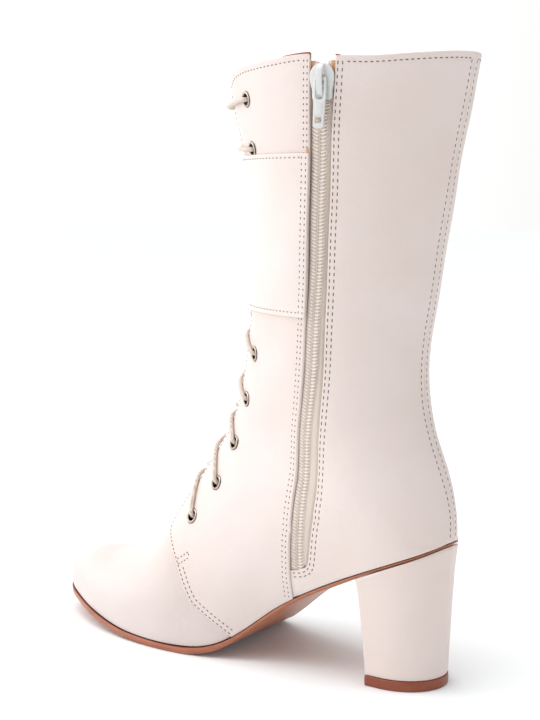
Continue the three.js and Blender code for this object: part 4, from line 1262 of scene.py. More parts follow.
zb_rows = [offset_row(zip_back_down, 1.3, s_zb, (2, 0)), offset_row(zip_back_down, 3.5, s_zb, (2, 0))]
zb_rows = [cut_at(r, lambda p: ~((p[:, 0] > 54.6) & (p[:, 2] < 62))) for r in zb_rows]
s_cm = pick_side(col_m_front, 3, (60, 30, 280))
col_rows_m = [offset_row(col_m_front, 3.0, s_cm, (3, 5))]
s_cb = pick_side(col_m_back, 3, (5, 30, 280))
col_rows_b = [offset_row(col_m_back, 3.0, s_cb, (5, 3))]
s_cl = pick_side(collar_rest_l, 3, (40, -40, 280))
col_rows_l = [offset_row(collar_rest_l, 3.0, s_cl, (3, 3))]
s_fm = pick_side(facing_down_m, 2, (80, 30, 190))
s_fl = pick_side(facing_down_l, 2, (80, -30, 190))


def split_facing(line, side):
    r = resample(line, 1.0)
    z = P(*r.T)[:, 2]
    return r[z > 86], r[z <= 88]


fm_up, fm_seam = split_facing(facing_down_m, 1)
fl_up, fl_seam = split_facing(facing_down_l, -1)
face_rows_m = [offset_row(fm_up, 2.0, s_fm, (3, 0))]
face_rows_l = [offset_row(fl_up, 2.0, s_fl, (3, 0))]
seam_rows_m = [offset_row(fm_seam, 1.3, s_fm, (0, 1)), offset_row(fm_seam, 3.8, s_fm, (0, 1))]
seam_rows_l = [offset_row(fl_seam, 1.3, s_fl, (0, 1)), offset_row(fl_seam, 3.8, s_fl, (0, 1))]
for _r in (seam_rows_m, seam_rows_l):        # the second row starts below the corner's tack
    _r[1] = cut_at(_r[1], lambda p: p[:, 2] < 46.5)
back_line_m = np.array([[BACK_Q, 1.0], [HEEL_ROW, 1.0]])
back_line_l = np.array([[BACK_Q, -1.0], [HEEL_ROW, -1.0]])
s_bm = pick_side(back_line_m, 3, (20, 30, 190))
s_bl = pick_side(back_line_l, 3, (20, -30, 190))
back_rows_m = [offset_row(back_line_m, 2.6, s_bm, (3, 2))]
back_rows_l = [offset_row(back_line_l, 2.6, s_bl, (3, 2))]

# little rectangle of bar stitches that strengthens the quarter's corner
_tack = np.array([[124.8, 49.1], [117.9, 54.0], [117.1, 51.0], [123.5, 46.8]])


def tack_rows(side):
    c = find(_tack, (0, 2), side, qmin=7.5)
    return [resample(c[[0, 1]], 1), resample(c[[1, 2]], 1), resample(c[[2, 3]], 1)]


tack_m, tack_l = tack_rows(1), tack_rows(-1)


def groove_tree(rows):
    return tree(np.vstack([P(*resample(r, 0.6).T) for r in rows]))


def hole_loops(side, r=3.05):
    out = []
    for x, z in EYELETS:
        c = find([[x, z]], (0, 2), 1, qmin=8)[0]
        c = np.array([c[0], side * c[1]])
        n = N(*c)
        a = np.cross(n, [0, 0, 1.0]); a /= np.linalg.norm(a)
        b = np.cross(n, a)
        th = np.linspace(0, 2 * np.pi, 14, endpoint=False)
        v = r * (np.cos(th)[:, None] * a + np.sin(th)[:, None] * b)
        out.append(shift(np.repeat(c[None], 14, 0), v))
    return out


CELL = 1.9
rm = zf_rows + col_rows_m + face_rows_m + seam_rows_m + tack_m
panel("quarter_front_inner", QM, quarter_out, quarter_front_in, "upper", CELL, holes=hole_loops(1), materials=[M_LEATHER.m, M_EDGE.m, M_LINING.m], grooves=(groove_tree(rm), 0.11, 0.6))
rb = zb_rows + col_rows_b + back_rows_m
panel("quarter_back_inner", QB, back_out, const(-1.2), "upper", CELL, materials=[M_LEATHER.m, M_EDGE.m, M_LINING.m], grooves=(groove_tree(rb), 0.11, 0.6))
rl = col_rows_l + face_rows_l + seam_rows_l + back_rows_l + tack_l
panel("quarter_outer", QL, quarter_out, quarter_in, "upper", CELL, holes=hole_loops(-1), materials=[M_LEATHER.m, M_EDGE.m, M_LINING.m], grooves=(groove_tree(rl), 0.11, 0.6))
panel("vamp", VAMP, vamp_out, const(-1.2), "upper", CELL, rounding=0.4, materials=[M_VAMP_SHADED.m, M_EDGE.m, M_LINING.m])


# lining: one skin inside all the leather
def lining_panel():
    th_m, th_l = throat_line(1), throat_line(-1)
    fm = inset(resample(np.vstack([th_m[P(*th_m.T)[:, 2] > 93]]), 1.5), 0.5 * s_fm)
    fl = inset(resample(np.vstack([th_l[P(*th_l.T)[:, 2] > 93]]), 1.5), 0.5 * s_fl)
    cm = inset(COLLAR_M[:-1], 0.5 * s_cm)
    cl = inset(COLLAR_L[:-1], 0.5 * s_cl)
    cm, cl = np.vstack([cm, [BACK_Q - 0.02, 1.0]]), np.vstack([cl, [BACK_Q - 0.02, -1.0]])
    zf = inset(ZIP_FRONT[P(*ZIP_FRONT.T)[:, 2] > 60], 0.5 * s_zf)
    zb = inset(ZIP_BACK[P(*ZIP_BACK.T)[:, 2] > 64], 0.5 * s_zb)
    a, rest = cross(fm, cm)
    col1, zf2 = cross(rest, zf)
    zb1, col2 = cross(zb, cm)
    zb2 = np.vstack([zb1[-1], zb[len(zb1) - 1:]])
    bottom = find(np.array([[53.6, 57.0], [51.5, 54.6], [48.5, 54.6], [45.6, 56.0], [43.6, 58.6]]), (0, 2), 1, qmin=9)
    bottom = np.vstack([zf2[-1], bottom, zb2[-1]])
    al, restl = cross(fl, cl)
    fmd = np.vstack([a[-1], fm[len(a) - 1:]])
    fld = np.vstack([al[-1], fl[len(al) - 1:]])
    arc = find(np.stack([4.3 + 7.4 * np.cos(np.linspace(0.05, np.pi - 0.05, 9)), 92 - 9.5 * np.sin(np.linspace(0.05, np.pi - 0.05, 9))], 1), (1, 2), 0, qmin=8.6)
    arc = np.vstack([fmd[-1], arc, fld[-1]])
    seg = [(col1, True), (zf2, True), (bottom, True), (zb2[::-1], True), (col2, True),
           (np.array([[BACK_Q - 0.02, 1.0], [HEEL_ROW, 1.0]]), False), (feather(1, HEEL_ROW, 0), True), (np.array([[0.0, 1.0], [0.0, 0.0], [0.0, -1.0]]), False),
           (feather(-1, 0, HEEL_ROW), True), (np.array([[HEEL_ROW, -1.0], [BACK_Q - 0.02, -1.0]]), False), (restl[::-1], True), (fld, True), (arc[::-1], True), (fmd[::-1], True)]
    seg = [(s[0], s[1]) for s in seg]
    panel("lining", seg, const(-1.25), const(-2.0), "upper", 2.6, rounding=0.25, edge_rings=(0.3, 1.1, 2.4), materials=[M_LINING.m, M_EDGE.m, M_LINING.m], fine=1.4, holes=hole_loops(1, 3.0) + hole_loops(-1, 3.0))


lining_panel()


# ------------------------------------------------------------------ band
def band_out(q, t):
    return np.full(np.shape(q), 1.62)


def band_panel():
    zt, zb_ = 259.2, 181.0
    e = lambda z: find([[np.interp(z, ZIP[:, 0], ZIP[:, 1]) - 0.3, z]], (0, 2), 1, qmin=12)[0]
    et, eb = e(zt), e(zb_)
    tt = np.linspace(-et[1], et[1], 90)
    top = np.stack([at_height(zt, tt), tt], 1)
    tb = np.linspace(eb[1], -eb[1], 90)
    bot = np.stack([at_height(zb_, tb), tb], 1)
    zs = np.linspace(zt, zb_, 40)
    side = find(np.stack([np.interp(zs, ZIP[:, 0], ZIP[:, 1]) - 0.3, zs], 1), (0, 2), 1, qmin=12)
    side[0], side[-1] = top[-1], bot[0]
    other = side * [1, -1]
    seg = [(top, True), (side, True), (bot, True), (other[::-1], True)]
    mid = (98, 0, 220)
    s_t = pick_side(top, 3, (98, 0, 200))
    s_s = pick_side(side, 3, (60, 38, 220))
    s_b = pick_side(bot, 3, (98, 0, 240))
    rows = [offset_row(side, 1.4, s_s, (1, 1)), offset_row(side, 3.8, s_s, (1, 1)), offset_row(top, 2.0, s_t, (4, 4)), offset_row(bot, 2.5, s_b, (4, 4))]
    rows += [r * [1, -1] for r in rows[:2]]
    low = lambda q, t: np.full(np.shape(q), 0.62)
    panel("front_band", seg, band_out, low, "front_band", CELL, rounding=0.6, materials=[M_BAND.m, M_EDGE.m, M_BAND.m], grooves=(groove_tree(rows), 0.11, 0.6))
    return rows


band_rows = band_panel()


# ------------------------------------------------------------------ tongue
def tongue_panel():
    zs = np.linspace(293.5, 84, 60)
    out = []
    for side in (1, -1):
        half = np.interp(zs, THROAT[:, 0], THROAT[:, 2]) + 9
        y = np.interp(zs, THROAT[:, 0], THROAT[:, 1]) + side * half
        y = np.clip(y, -33, 33)
        out.append(find(np.stack([y, zs], 1), (1, 2), 0, qmin=8.4))
    m, l = out
    tt = np.linspace(l[0][1], m[0][1], 40)
    zt = 293.5 + 1.4 * (1 - (np.linspace(-1, 1, 40))**4) - 4.5 * np.abs(np.linspace(-1, 1, 40))**6
    top = np.stack([at_height(zt, tt), tt], 1)
    tb = np.linspace(m[-1][1], l[-1][1], 20)
    q0 = m[-1][0] + (l[-1][0] - m[-1][0]) * np.linspace(0, 1, 20)
    bot = np.stack([q0 - 0.25 * np.sin(np.linspace(0, np.pi, 20)), tb], 1)
    m[0], l[0] = top[-1], top[0]
    seg = [(top, True), (soften_line(m, 2), True), (bot, True), (soften_line(l, 2)[::-1], True)]

    def out_h(q, t):
        p = P(q, t)
        half = np.interp(p[..., 2], THROAT[:, 0], THROAT[:, 2])
        mid = np.interp(p[..., 2], THROAT[:, 0], THROAT[:, 1])
        k = smooth(0.7, 1.15, np.abs(p[..., 1] - mid) / half)
        return -2.85 - 0.25 * k
    row = offset_row(top, 2.6, pick_side(top, 3, (98, 0, 240)), (3, 3))
    panel("tongue", seg, out_h, lambda q, t: out_h(q, t) - 1.5, "tongue", CELL, rounding=0.6, materials=[M_TONGUE.m, M_EDGE.m, M_LINING.m], grooves=(groove_tree([row]), 0.10, 0.6))
    return row, out_h


tongue_row, tongue_height = tongue_panel()

# ------------------------------------------------------------------ stitches
groups = [                                  # rows, height, pitch, visible part of the pitch
    (zf_rows, quarter_out, 2.8, 0.17), (zb_rows, back_out, 3.15, 0.36), (col_rows_m + col_rows_l, quarter_out, 2.6, 0.24), (col_rows_b, back_out, 2.6, 0.34),
    (face_rows_m + face_rows_l, quarter_out, 2.7, 0.26), (seam_rows_m + seam_rows_l, quarter_out, 2.5, 0.34), (back_rows_m, back_out, 3.0, 0.36), (back_rows_l, quarter_out, 3.0, 0.36),
    (tack_m + tack_l, quarter_out, 1.8, 0.30), (band_rows, band_out, 2.8, 0.20), ([tongue_row], tongue_height, 3.0, 0.34),
]
C, A, U, SZ = [], [], [], []
for rows, hgt, pitch, part in groups:
    for r in rows:
        if len(r) < 3:
            continue
        c0, a, n, ln, wd = stitch_line(r, lambda q, t: hgt(q, t) - 0.04, pitch, pitch * part, 0.52)
        C.append(c0); A.append(a); U.append(n)
        SZ.append(np.tile([ln / 2, wd / 2, 0.16], (len(c0), 1)))
C, A, U, SZ = map(np.vstack, (C, A, U, SZ))
# thread, with a small dark disc at each end: painted shade standing in for the needle hole
tv, tf = beads(C, A, U, SZ, blob(7, 6))
ends = np.vstack([C + A * (SZ[:, :1] - 0.02), C - A * (SZ[:, :1] - 0.02)]) + np.vstack([U, U]) * 0.02
hv, hf = beads(ends, np.vstack([A, A]), np.vstack([U, U]), np.array([0.24, 0.27, 0.07]), blob(6, 4))
v, f, m = join_parts([(tv, tf, 0), (hv, hf, 1)])
new_object("stitching", v, f, materials=[M_THREAD.m, M_HOLE_SHADE.m], face_material=m)



def edge_dye():
    """Red-brown raw edge at the collar beside the zip, and the tan end of the band's folded edge."""
    r = resample(col_m_front, 0.6)[-27:]
    k = np.linspace(0, 1, len(r))
    path = S(r[:, 0], r[:, 1], 0.10)
    v, f = tube(path, 0.12 + 0.40 * k**0.7, 8, N(r[:, 0], r[:, 1]), np.full(len(r), 0.8))
    parts = [(v, f, 0)]
    r = resample(col_m_back, 0.6)[:5]
    v, f = tube(S(r[:, 0], r[:, 1], -0.1), np.array([0.34, 0.30, 0.24, 0.16, 0.08]), 8, N(r[:, 0], r[:, 1]))
    parts.append((v, f, 0))
    c = find([[35.9, 260.3]], (0, 2), 1, qmin=12)
    n = N(c[:, 0], c[:, 1])
    d = S(c[:, 0] + 0.05, c[:, 1], 0) - S(c[:, 0], c[:, 1], 0)
    d /= np.linalg.norm(d)
    v, f = beads(S(c[:, 0], c[:, 1], 0.62), d, n, np.array([1.3, 0.8, 0.45]), blob(10, 8))
    parts.append((v, f, 1))
    v, f, m = join_parts(parts)
    new_object("edge_dye", v, f, materials=[M_DYE.m, M_FOLD.m], face_material=m)


M_DYE = plain("edge_dye", (164, 84, 62), (140, 62, 46), 0.6, 300, 0.2)
edge_dye()

# ------------------------------------------------------------------ eyelets
eyelets = {}
for i, (x, z) in enumerate(EYELETS):
    for name, side in (("m", 1), ("l", -1)):
        c = find([[x, z]], (0, 2), 1, qmin=8)[0]
        c = np.array([c[0], side * c[1]])
        n = N(*c)
        O = P(*c)
        O = O + n * softness(O)
        a = np.cross(n, [0, 0, 1.0]); a /= np.linalg.norm(a)
        b = np.cross(n, a)
        prof = [(2.72, -2.3)]
        prof += [(2.72, 0.50), (2.76, 0.76), (2.90, 0.98), (3.12, 1.10), (3.38, 1.10), (3.64, 0.98), (3.88, 0.76), (4.04, 0.52), (4.08, 0.42), (3.98, 0.34), (2.95, 0.32), (2.90, -2.3)]
        v, f = lathe(prof, (O, a, b, n), 44)
        # the bore and the rim's outer edge take the dark metal as painted shade; the rim's top takes the aged metal
        kind = [0 if 1 <= k // 44 <= 6 else 1 for k in range(len(f))]
        new_object(f"eyelet_ring_{name}{i + 1}", v, [g[::-1] for g in f], f"eyelet_{name}{i + 1}", materials=[M_EYELET.m, M_EYELET_SHADE.m], face_material=kind)
        eyelets[(name, i)] = (c, O, n)


# ------------------------------------------------------------------ laces
def over_strand(a, b, lift=0.0, cross_up=0.0, end="under"):
    """Cord out of eyelet a, over its own facing and the gap, then under the other facing and up through eyelet b
    (end="under"), or over that facing too and down through b (end="over").
    Returns path, up vectors and flatness."""
    ca, Oa, na = a
    cb, Ob, nb = b
    f = np.linspace(0, 1, 60)
    q, t = ca[0] + (cb[0] - ca[0]) * f, ca[1] + (cb[1] - ca[1]) * f
    p = P(q, t)
    mid = np.interp(p[:, 2], THROAT[:, 0], THROAT[:, 1])
    half = np.interp(p[:, 2], THROAT[:, 0], THROAT[:, 2])
    e = np.abs(p[:, 1] - mid) - half            # below 0 in the gap, above 0 over a facing
    first = np.sign(ca[1]) * (p[:, 1] - mid) > 0
    h = np.zeros(60)
    fl = np.ones(60)
    over = 1.60 + 0.85 * np.exp(-((f - 0.0) / 0.06)**2)
    gap = -1.65 + cross_up
    if end == "under":
        k = np.where(first, smooth(-half * 0.85, 0.6, e), 0)
        h1 = gap + (over - gap) * k
        k2 = np.where(first, 0, smooth(-3.6, 0.8, e))
        h = h1 + (-2.45 - h1) * k2
        fl = 1 - 0.66 * k2
    else:
        k = smooth(-half * 0.9, 0.5, e)
        over = over + 0.75 * np.exp(-((f - 1.0) / 0.06)**2)
        h = gap + (over - gap) * k
    h = h + lift * np.sin(np.pi * f)**2 * np.where(first | (end == "over"), 1, 0.0)
    up = N(q, t)
    body = p + up * (h + softness(p))[:, None]
    # through the first eyelet
    depth = np.array([-2.3, -1.4, -0.4, 0.6, 1.5])
    start = Oa + na * depth[:, None]
    w = np.array([0, 0, 0.02, 0.10, 0.30])[:, None]
    lead = body[4] - Oa
    lead = lead - na * (lead @ na)
    start = start + lead * w * 0.6
    body, up, fl = body[5:], up[5:], fl[5:]
    d = np.array([-2.3, -1.5, -0.6])
    if end == "under":
        body, up, fl = body[:-3], up[:-3], fl[:-3]
        tail = Ob + nb * np.array([-2.6, -1.9, -1.0])[:, None]
        tf_ = np.array([0.5, 0.8, 1.0])
    else:
        body, up, fl = body[:-5], up[:-5], fl[:-5]
        lead = body[-1] - Ob
        lead = lead - nb * (lead @ nb)
        dd = np.array([1.5, 0.6, -0.4, -1.4, -2.2])
        tail = Ob + nb * dd[:, None] + lead * np.array([0.30, 0.10, 0.02, 0, 0])[:, None] * 0.6
        tf_ = np.ones(5)
    path = np.vstack([start, body, tail])
    ups = np.vstack([np.repeat(na[None], 5, 0), up, np.repeat(nb[None], len(tail), 0)])
    flat = np.r_[np.ones(5), fl, tf_]
    # even and smooth
    L = np.r_[0, np.cumsum(np.linalg.norm(np.diff(path, axis=0), axis=1))]
    s = np.arange(0, L[-1], 0.42)
    path = np.stack([np.interp(s, L, path[:, k]) for k in range(3)], 1)
    ups = np.stack([np.interp(s, L, ups[:, k]) for k in range(3)], 1)
    flat = np.interp(s, L, flat)
    for _ in range(14):
        path[1:-1] = (path[:-2] + 2 * path[1:-1] + path[2:]) / 4
        flat[1:-1] = (flat[:-2] + 2 * flat[1:-1] + flat[2:]) / 4
    return path, ups, flat


def strand_mesh(path, ups, flat):
    # side frame that stays steady where the cord runs along its own up vector
    tan = np.gradient(path, axis=0)
    tan /= np.linalg.norm(tan, axis=1, keepdims=True)
    side = np.cross(tan, ups)
    ln = np.linalg.norm(side, axis=1)
    good = ln > 0.45
    idx = np.arange(len(path))
    for k in range(3):
        side[:, k] = np.interp(idx, idx[good], side[good, k])
    side /= np.linalg.norm(side, axis=1, keepdims=True)
    up = np.cross(side, tan)
    return tube(path, 1.14, 14, up, flat, braid=0.075)


lower = []
for k in range(6, 2, -1):
    hi_ = k % 2 == 0
    lower.append(strand_mesh(*over_strand(eyelets[("m", k)], eyelets[("l", k - 1)], 0.05, 0.0 if hi_ else 2.0)))
    lower.append(strand_mesh(*over_strand(eyelets[("l", k)], eyelets[("m", k - 1)], 0.05, 2.0 if hi_ else 0.0)))
# out of the third pair, up the gap and under the band
for name, other, up_ in (("m", "l", 0.0), ("l", "m", 2.1)):
    c, O, n = eyelets[(name, 2)]
    co, Oo, no = eyelets[(other, 2)]
    tgt = find([[84.0, 186.0]], (0, 2), 1, qmin=12)[0]
    tgt = np.array([tgt[0], tgt[1] * (1 if other == "m" else -1)])
    nt = N(*tgt)
    Ot = P(*tgt)
    lower.append(strand_mesh(*over_strand((c, O, n), (tgt, Ot, nt), 0.1, up_)))
# hidden bar between the lowest pair
cm_, Om_, nm_ = eyelets[("m", 6)]
cl_, Ol_, nl_ = eyelets[("l", 6)]
f = np.linspace(0, 1, 50)
q, t = cm_[0] + (cl_[0] - cm_[0]) * f, cm_[1] + (cl_[1] - cm_[1]) * f
bar = P(q, t) + N(q, t) * (-2.5 + softness(P(q, t)))[:, None]
lower.append(tube(bar, 1.28, 12, N(q, t), np.full(50, 0.34), braid=0.07))
v, f, m = join_parts(lower)
new_object("laces_lower", v, f, "lace_lower", materials=[M_CORD.m])
for k in (0, 1):
    path, ups, flat = over_strand(eyelets[("m", k)], eyelets[("l", k)], 0.0, 0.7, end="over")
    slack = np.sin(np.pi * np.clip((np.linspace(0, 1, len(path)) - 0.07) / 0.86, 0, 1))**0.8
    path = path + np.outer(slack, [0.6, 0, -3.4 if k == 0 else -0.4])
    v, f = strand_mesh(path, ups, flat)
    new_object(f"lace_top_{k + 1}", v, f, f"lace_bar_{k + 1}", materials=[M_CORD.m])


# ------------------------------------------------------------------ zip
def strip_mesh(xa, xb, zs, h0, h1, across=6, edge=0.0):
    """Ribbon along the zip between two x lines; h0 outer height, h1 inner."""
    rows_o, rows_i = [], []
    for f_ in np.linspace(0, 1, across + 1):
        x = xa + (xb - xa) * f_
        c = find(np.stack([x, zs], 1), (0, 2), 1, qmin=9)
        hh = (h0(x, zs) if callable(h0) else h0) + edge * (math.exp(-(f_ / 0.12)**2) + math.exp(-((1 - f_) / 0.12)**2))
        rows_o.append(S(c[:, 0], c[:, 1], hh))
        rows_i.append(S(c[:, 0], c[:, 1], h1))
    n, m = len(zs), across + 1
    V = np.vstack([np.stack(rows_o, 1).reshape(-1, 3), np.stack(rows_i, 1).reshape(-1, 3)])
    F = []
    o = n * m
    for i in range(n - 1):
        for j in range(m - 1):
            a = i * m + j
            F.append([a, a + 1, a + m + 1, a + m])
            F.append([o + a, o + a + m, o + a + m + 1, o + a + 1])
        a, b = i * m, i * m + m - 1
        F.append([a, a + m, o + a + m, o + a])
        F.append([b, o + b, o + b + m, b + m])
    for j in range(m - 1):
        F.append([j, o + j, o + j + 1, j + 1])
        a = (n - 1) * m + j
        F.append([a, a + 1, o + a + 1, o + a])
    # outward winding
    c = V[F[0]]
    if np.cross(c[1] - c[0], c[2] - c[0]) @ (V[0] - V[o]) < 0:
        F = [g[::-1] for g in F]
    return V, F


tz = np.linspace(50, 300.5, 130)
xf, xc, xb = (np.interp(tz, ZIP[:, 0], ZIP[:, k]) for k in (1, 2, 3))
COIL_ON = lambda z: 1.4 * (1 - smooth(274, 285, z))          # the chain runs nearer to the front edge
xc = xc + COIL_ON(tz)


def tape_height(x, z):
    """High beside the coil, sinking under the leather at the slit's edges."""
    e = np.minimum(np.interp(z, ZIP[:, 0], ZIP[:, 1]) - x, x - np.interp(z, ZIP[:, 0], ZIP[:, 3]))
    return -2.14 + 0.95 * smooth(0.2, 2.2, e) * smooth(55.5, 58, z)


gap_top = smooth(276, 284, tz) * 2.2
v, f = strip_mesh(xc + 0.35 + gap_top, xf + 6.5, tz, tape_height, -2.75, 22)
new_object("tape_front", v, f, "zip_tape_front", materials=[M_TAPE.m])
v, f = strip_mesh(xb - 6.5, xc - 0.35 - gap_top, tz, tape_height, -2.75, 22)
new_object("tape_back", v, f, "zip_tape_back", materials=[M_TAPE.m])


def coil():
    pitch = 1.68
    z0, z1 = 54.8, 283.0
    parts = []
    zl = np.linspace(z0 - 3, z1 + 3, 400)
    xl = np.interp(zl, ZIP[:, 0], ZIP[:, 2]) + COIL_ON(zl)
    mid = find(np.stack([xl, zl], 1), (0, 2), 1, qmin=9)
    pm = S(mid[:, 0], mid[:, 1], 0.0)
    L = np.r_[0, np.cumsum(np.linalg.norm(np.diff(pm, axis=0), axis=1))]
    a0, a1 = np.interp(z0, zl, L), np.interp(z1, zl, L)
    tan = np.gradient(pm, axis=0)
    tan /= np.linalg.norm(tan, axis=1, keepdims=True)
    nn = N(mid[:, 0], mid[:, 1])
    at = lambda s: tuple(np.stack([np.interp(s, L, a[:, k]) for k in range(3)], -1) for a in (pm, tan, nn))

    def row(s, off, h, size, lean, shape, mat):
        p, tg, n = at(s)
        ac = np.cross(tg, n)
        ac /= np.linalg.norm(ac, axis=1, keepdims=True)
        along = ac * (1 if off > 0 else -1) * lean[0] + tg * lean[1]
        along /= np.linalg.norm(along, axis=1, keepdims=True)
        vv, ff = beads(p + ac * off + n * h, along, n, np.array(size), shape)
        parts.append((vv, ff, mat))
    half = lambda off: np.arange(a0, a1, pitch) + off * pitch
    for side, off in ((1, 0.0), (-1, 0.5)):
        s = half(off)
        s = s[s < a1]
        # each turn of the coil, its rounded head, and the thread that holds it on the tape; the heads and the beads
        # beside the turns take the darker coil colour, painted shade between the turns
        row(s, side * 2.05, -1.02, (1.60, 0.50, 0.62), (1.0, 0.26), blob(10, 8), 0)
        row(s, side * 0.45, -1.10, (1.0, 0.62, 0.56), (1.0, 0.10), blob(9, 7), 2)
        s = half(off + 0.5)
        s = s[s < a1]
        row(s, side * 2.25, -1.04, (0.92, 0.50, 0.40), (0.50, 0.86), blob(9, 7), 2)
        row(s, side * 3.45, -1.18, (0.8, 0.40, 0.28), (0.9, 0.3), blob(7, 6), 1)
    s = np.linspace(a0, a1, 260)
    p, tg, n = at(s)
    ac = np.cross(tg, n)
    ac /= np.linalg.norm(ac, axis=1, keepdims=True)
    # body of the coils behind their turns, in the darker colour that paints the shade between the coil's turns
    for side in (1, -1):
        vv, ff = tube(p + ac * side * 1.7 - n * 1.42, 1.15, 12, n, np.full(260, 0.62))
        parts.append((vv, ff, 2))
    v, f, m = join_parts(parts)
    new_object("zip_coil", v, f, "zip_chain", materials=[M_COIL.m, M_CHAINTHREAD.m, M_COIL_PAINTED_SHADE.m], face_material=m)


coil()

# the open coils above the slider lie under the turned tape ends
J = frame["joints"][0]
HINGE = np.array(J["pos_m"]) * 1000
HAXIS = -np.array(J["axis"]) / np.linalg.norm(J["axis"])
sl_t = find([[np.interp(292.6, ZIP[:, 0], ZIP[:, 2]), 292.6]], (0, 2), 1, qmin=12)[0]
za = find([[np.interp(286.6, ZIP[:, 0], ZIP[:, 2]), 286.6], [np.interp(298.6, ZIP[:, 0], ZIP[:, 2]), 298.6]], (0, 2), 1, qmin=12)
SV = P(*za[1]) - P(*za[0])
SV = SV - HAXIS * (SV @ HAXIS)
SV /= np.linalg.norm(SV)
SH = HAXIS
SN = np.cross(SH, SV)
if SN[1] < 0:
    SN = -SN
SO = HINGE - SN * 1.38


def arc(cx, cy, r, a0, a1, n):
    a = np.radians(np.linspace(a0, a1, n))
    return [(cx + r * math.cos(x), cy + r * math.sin(x)) for x in a]


def slider():
    fr = (SO, SH, SV, SN)
    # egg-shaped upper plate
    w, nw, up_, dn = 6.1, 4.9, 7.4, 9.4
    out = [(w * math.cos(a), 1.0 + (up_ - 1.0) * math.sin(a)) for a in np.radians(np.linspace(0, 180, 25))]
    out += [(-w + 0.15, -0.8), (-w + 0.55, -2.6), (-nw - 0.2, -4.4), (-nw, -6.0), (-nw, -8.3)] + arc(-nw + 1.0, -dn + 1.0, 1.0, 180, 270, 5) + arc(nw - 1.0, -dn + 1.0, 1.0, 270, 360, 5)
    out += [(nw, -8.3), (nw, -6.0), (nw + 0.2, -4.4), (w - 0.55, -2.6), (w - 0.15, -0.8)]
    parts = [plate(out, [], -1.5, 0.0, 0.55, fr) + (0,)]
    # flanges down the sides
    for s in (1, -1):
        fl = [(s * (nw - 1.0), -dn + 0.6), (s * nw, -dn + 0.9), (s * (nw + 0.1), -5.0), (s * (w - 0.3), -2.2), (s * (w - 1.3), -1.6), (s * (nw - 1.0), -4.6)]
        parts.append(plate(fl, [], -3.0, -1.3, 0.25, fr) + (0,))
    low = [(x * 0.94, y * 0.94) for x, y in out]
    parts.append(plate(low, [], -5.4, -4.3, 0.35, fr) + (0,))
    parts.append(plate([(-1.2, -3), (1.2, -3), (1.2, 5.4), (-1.2, 5.4)], [], -4.6, -1.2, 0.3, fr) + (0,))
    # bridge, made from its side profile: an arch with an eye for the pull's bar
    arch = [(-8.4, -1.2), (-8.5, 0.5), (-8.0, 1.3), (-6.6, 2.3), (-4.8, 2.95), (-2.4, 3.2), (0.6, 3.25), (3.4, 3.0), (5.2, 2.4), (6.4, 1.4), (6.8, 0.3), (6.7, -1.2)]
    eye = [(-2.3, 0.12), (-2.2, 2.0), (-1.6, 2.45), (1.2, 2.45), (1.8, 2.0), (1.9, 0.12)]
    v, f = plate(arch, [eye], -1.5, 1.5, 0.32, (SO, SV, SN, SH))
    parts.append((v, f, 0))
    v, f, m = join_parts(parts)
    o = new_object("slider_body", v, f, "zip_slider", materials=[M_WHITEMETAL.m], smooth_shade=True)
    return o


slider()
DOWN = np.array([0, 0, 1.0]) - SH * SH[2]
DOWN /= np.linalg.norm(DOWN)
PN = np.cross(SH, DOWN)
if PN[1] < 0:
    PN = -PN


def pull():
    fr = (HINGE, SH, DOWN, PN)
    w = 3.15
    out = [(-w + 0.5, 0.75), (w - 0.5, 0.75), (w - 0.15, 0.55), (w, 0.1), (w, -9.0), (w - 0.3, -10.5), (w - 0.8, -20.4)] + arc(w - 2.7, -20.6, 1.9, 0, -90, 7) + arc(-w + 2.05, -20.6, 1.9, -90, -180, 7) + [(-w + 0.15, -20.4), (-w + 0.15, -10.5), (-w, -9.0), (-w, 0.1), (-w + 0.15, 0.55)]
    slot = [(-1.95, -0.72), (1.95, -0.72), (1.95, -8.0), (1.5, -8.9), (0.8, -9.3), (-0.8, -9.3), (-1.5, -8.9), (-1.95, -8.0)]
    hole = [(-1.85, -17.2), (1.15, -17.2), (1.15, -19.9), (-1.85, -19.9)]
    parts = [plate(out, [slot, hole], -0.62, 0.62, 0.32, fr)]
    # raised flat panel on the grip
    pan = [(-1.9, -11.0), (1.6, -11.0), (1.35, -16.2), (-1.9, -16.2)]
    parts.append(plate(pan, [], 0.5, 0.82, 0.16, fr))
    v, f, m = join_parts(parts)
    new_object("pull_tab", v, f, "zip_pull", body="pull", materials=[M_WHITEMETAL.m])


pull()


def tape_ends():
    """Ends of the tapes, turned over at the collar on both sides of the slider."""
    parts = []
    for side in (1, -1):
        n = 12
        zs = np.linspace(295.2, 301.0, n)
        x0 = np.interp(zs, ZIP[:, 0], ZIP[:, 2])
        xe = np.interp(zs, ZIP[:, 0], ZIP[:, 1 if side > 0 else 3])
        inn = x0 + side * (4.6 - 2.2 * np.sin(np.pi * np.clip((zs - 294.0) / 7.6, 0, 1)))
        outx = xe + side * 1.2
        a, b = (inn, outx) if side > 0 else (outx, inn)
        v, f = strip_mesh(a, b, zs, -1.28, -2.05, 6, 0.0)
        parts.append((v, f, 0))
    v, f, m = join_parts(parts)
    new_object("tape_ends", v, f, materials=[M_FOLD.m])


tape_ends()


# ------------------------------------------------------------------ sole, heel, insole
def base_line(s, side, out):
    s = np.asarray(s, float)
    h = 1e-3
    w = COLUMN["ym"] if side > 0 else COLUMN["yl"]
    f = lambda q: (COLUMN["bx"](q), COLUMN["yb"](q) + side * np.maximum(w(q), 0))
    x, y = f(s)
    xa, ya = f(np.maximum(s - h, 0))
    xb_, yb_ = f(np.minimum(s + h, HEEL_ROW))
    nx, ny = (yb_ - ya) * side, -(xb_ - xa) * side
    nx, ny = np.where(s < 0.01, 1, nx), np.where(s < 0.01, 0, ny)
    nx, ny = np.where(s > HEEL_ROW - 0.01, -1, nx), np.where(s > HEEL_ROW - 0.01, 0, ny)
    l = np.hypot(nx, ny)
    return x + out * nx / l, y + out * ny / l


